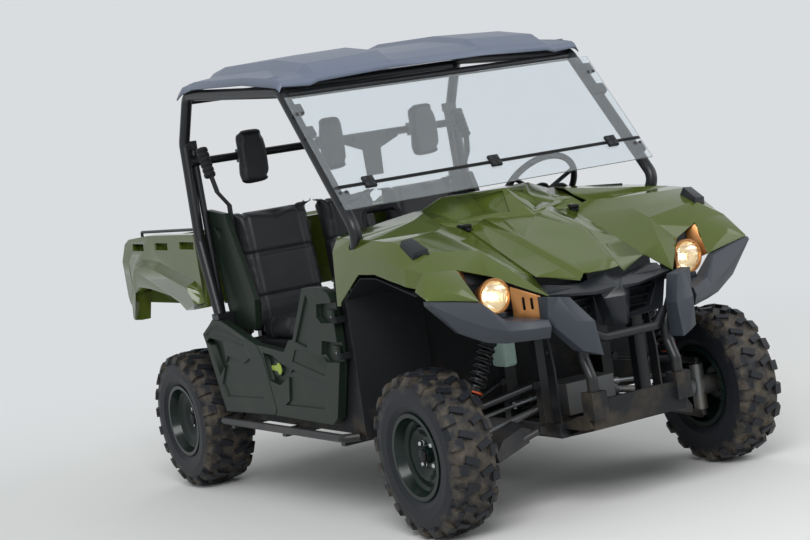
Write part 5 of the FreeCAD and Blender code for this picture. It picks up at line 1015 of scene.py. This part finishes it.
bezel_profile = ((0.0, -0.004), (0.050, -0.004), (0.052, 0.004), (0.050, 0.012), (0.045, 0.012),
                 (0.043, 0.004), (0.0, 0.003))
bezel = turned_piece("gauge_bezel", bezel_profile, 40)
bezel.data.transform(Matrix.Translation(gauge_place) @ Matrix.Rotation(gauge_tilt, 4, "X"))
dressed(bezel, cap_plastic, "chassis")
for number in range(4):
    spot = (rocker_place[0] + rocker_pitch * number, rocker_place[1], rocker_place[2])
    tilt = Matrix.Rotation(rocker_tilt, 4, "X")
    rocker = block("rocker_switch_" + str(number + 1), rocker_size, spot, tilt, 0.003)
    dressed(rocker, cap_plastic, "chassis")

# Door levers and hinge screws: a yellow-green latch paddle inside each door's pocket, over the moulded boss,
# and three small zinc-plated button heads on each hinge plate, sunk in the door's pocket.

lever_hex = "9BB03C"
lever_face = 0.7225
lever_thickness = 0.004
lever_outline = ((-0.010, 0.588), (-0.010, 0.614), (0.004, 0.627), (0.022, 0.624), (0.030, 0.614),
                 (0.080, 0.612), (0.082, 0.592), (0.030, 0.588), (0.020, 0.576), (0.002, 0.576))
hinge_screw_places = ((-0.556, -0.004), (-0.530, -0.004), (-0.543, 0.014))
hinge_screw_levels = (0.690, 0.835)
hinge_plate_face = 0.7235

lever_plastic = finish("yellow_green_acetal", lever_hex, dust=(0.5, 0.15, 40.0), grain=(3.0, 0.03, 1.5),
                       Roughness=0.35)
head_profile = ((0.0, 0.0025), (0.0035, 0.0022), (0.0052, 0.0008), (0.0054, -0.002), (0.0, -0.002))
small_head = turned_piece("small_head_pattern", head_profile, 16)
for side, sign in (("left", 1.0), ("right", -1.0)):
    outline = [(sign * lever_face, y, z) for y, z in lever_outline]
    lever = from_points("door_lever_" + side, outline, (), (tuple(range(len(outline))),))
    edit_all()
    bpy.ops.mesh.extrude_region_move(TRANSFORM_OT_translate={"value": (sign * lever_thickness, 0.0, 0.0)})
    bpy.ops.mesh.select_all(action="SELECT")
    bpy.ops.mesh.normals_make_consistent(inside=False)
    bpy.ops.mesh.bevel(offset=0.0015, segments=2, affect="EDGES")
    edit_done()
    bpy.ops.object.shade_smooth_by_angle(angle=smooth_angle)
    dressed(lever, lever_plastic, "door_" + side)
    heads = []
    for level in hinge_screw_levels:
        for y, z in hinge_screw_places:
            spot = Matrix.Translation((sign * hinge_plate_face, y, level + z))
            heads.append(copied(small_head, "screw", spot @ Matrix.Rotation(sign * math.pi / 2, 4, "Y")))
    dressed(joined(heads, "door_hinge_screws_" + side), zinc_steel, "door_" + side)
bpy.data.objects.remove(small_head)

# Coolant bottle: blow-moulded translucent polyethylene, pale green with coolant. It is strapped beside the
# front tower.

bottle_hex = "B5D0C6"
bottle_size = (0.060, 0.100, 0.150)
bottle_place = (-0.252, -1.010, 0.636)
bottle_rounding = 0.014

bottle_plastic = finish("blow_moulded_polyethylene", bottle_hex, dust=(0.8, 0.3, 60.0),
                        grain=(5.0, 0.05, 3.0), Roughness=0.42, Subsurface_Weight=0.3,
                        Subsurface_Radius=(0.02, 0.03, 0.02))
bottle = block("coolant_bottle", bottle_size, bottle_place, None, bottle_rounding, 4)
dressed(bottle, bottle_plastic, "chassis")

# Bed fittings: raised ribs moulded along the cargo floor, the tailgate's black paddle latch, and the bed's
# tilt release, a thin steel lever with a red ball at the bed's right front corner.

rib_places = (-0.56, -0.40, -0.24, -0.08, 0.08, 0.24, 0.40, 0.56)
rib_size = (0.050, 0.760, 0.008)
rib_middle_y = 1.110
rib_level = 0.8925
paddle_size = (0.110, 0.010, 0.022)
paddle_place = (0.0, 1.5665, 1.118)
red_hex = "B3231F"
lever_foot = Vector((-0.640, 0.640, 0.800))
lever_tip = Vector((-0.690, 0.640, 0.870))
lever_radius = 0.004
ball_radius = 0.011

ribs = [block("rib", rib_size, (x, rib_middle_y, rib_level), None, 0.003) for x in rib_places]
dressed(joined(ribs, "bed_floor_ribs"), olive_plastic, "bed")
paddle = block("tailgate_paddle", paddle_size, paddle_place, None, 0.003)
dressed(paddle, cap_plastic, "tailgate")

red_ball = finish("red_phenolic_ball", red_hex, dust=(0.9, 0.15, 30.0), grain=(6.0, 0.02, 1.0), Roughness=0.3)
aim = (lever_tip - lever_foot).to_track_quat("Z", "Y").to_matrix().to_4x4()
lever_length = (lever_tip - lever_foot).length
stalk_profile = ((0.0, 0.0), (lever_radius, 0.0), (lever_radius, lever_length), (0.0, lever_length))
stalk = turned_piece("bed_release_stalk", stalk_profile, 12)
stalk.data.transform(Matrix.Translation(lever_foot) @ aim)
dressed(stalk, zinc_steel, "chassis")
arc = [math.radians(angle) for angle in range(-75, 76, 15)]
ball_profile = [(ball_radius * math.cos(angle), ball_radius * math.sin(angle)) for angle in arc]
ball = turned_piece("bed_release_ball", [(0.0, -ball_radius)] + ball_profile + [(0.0, ball_radius)], 24)
ball.data.transform(Matrix.Translation(lever_tip) @ aim)
dressed(ball, red_ball, "chassis")
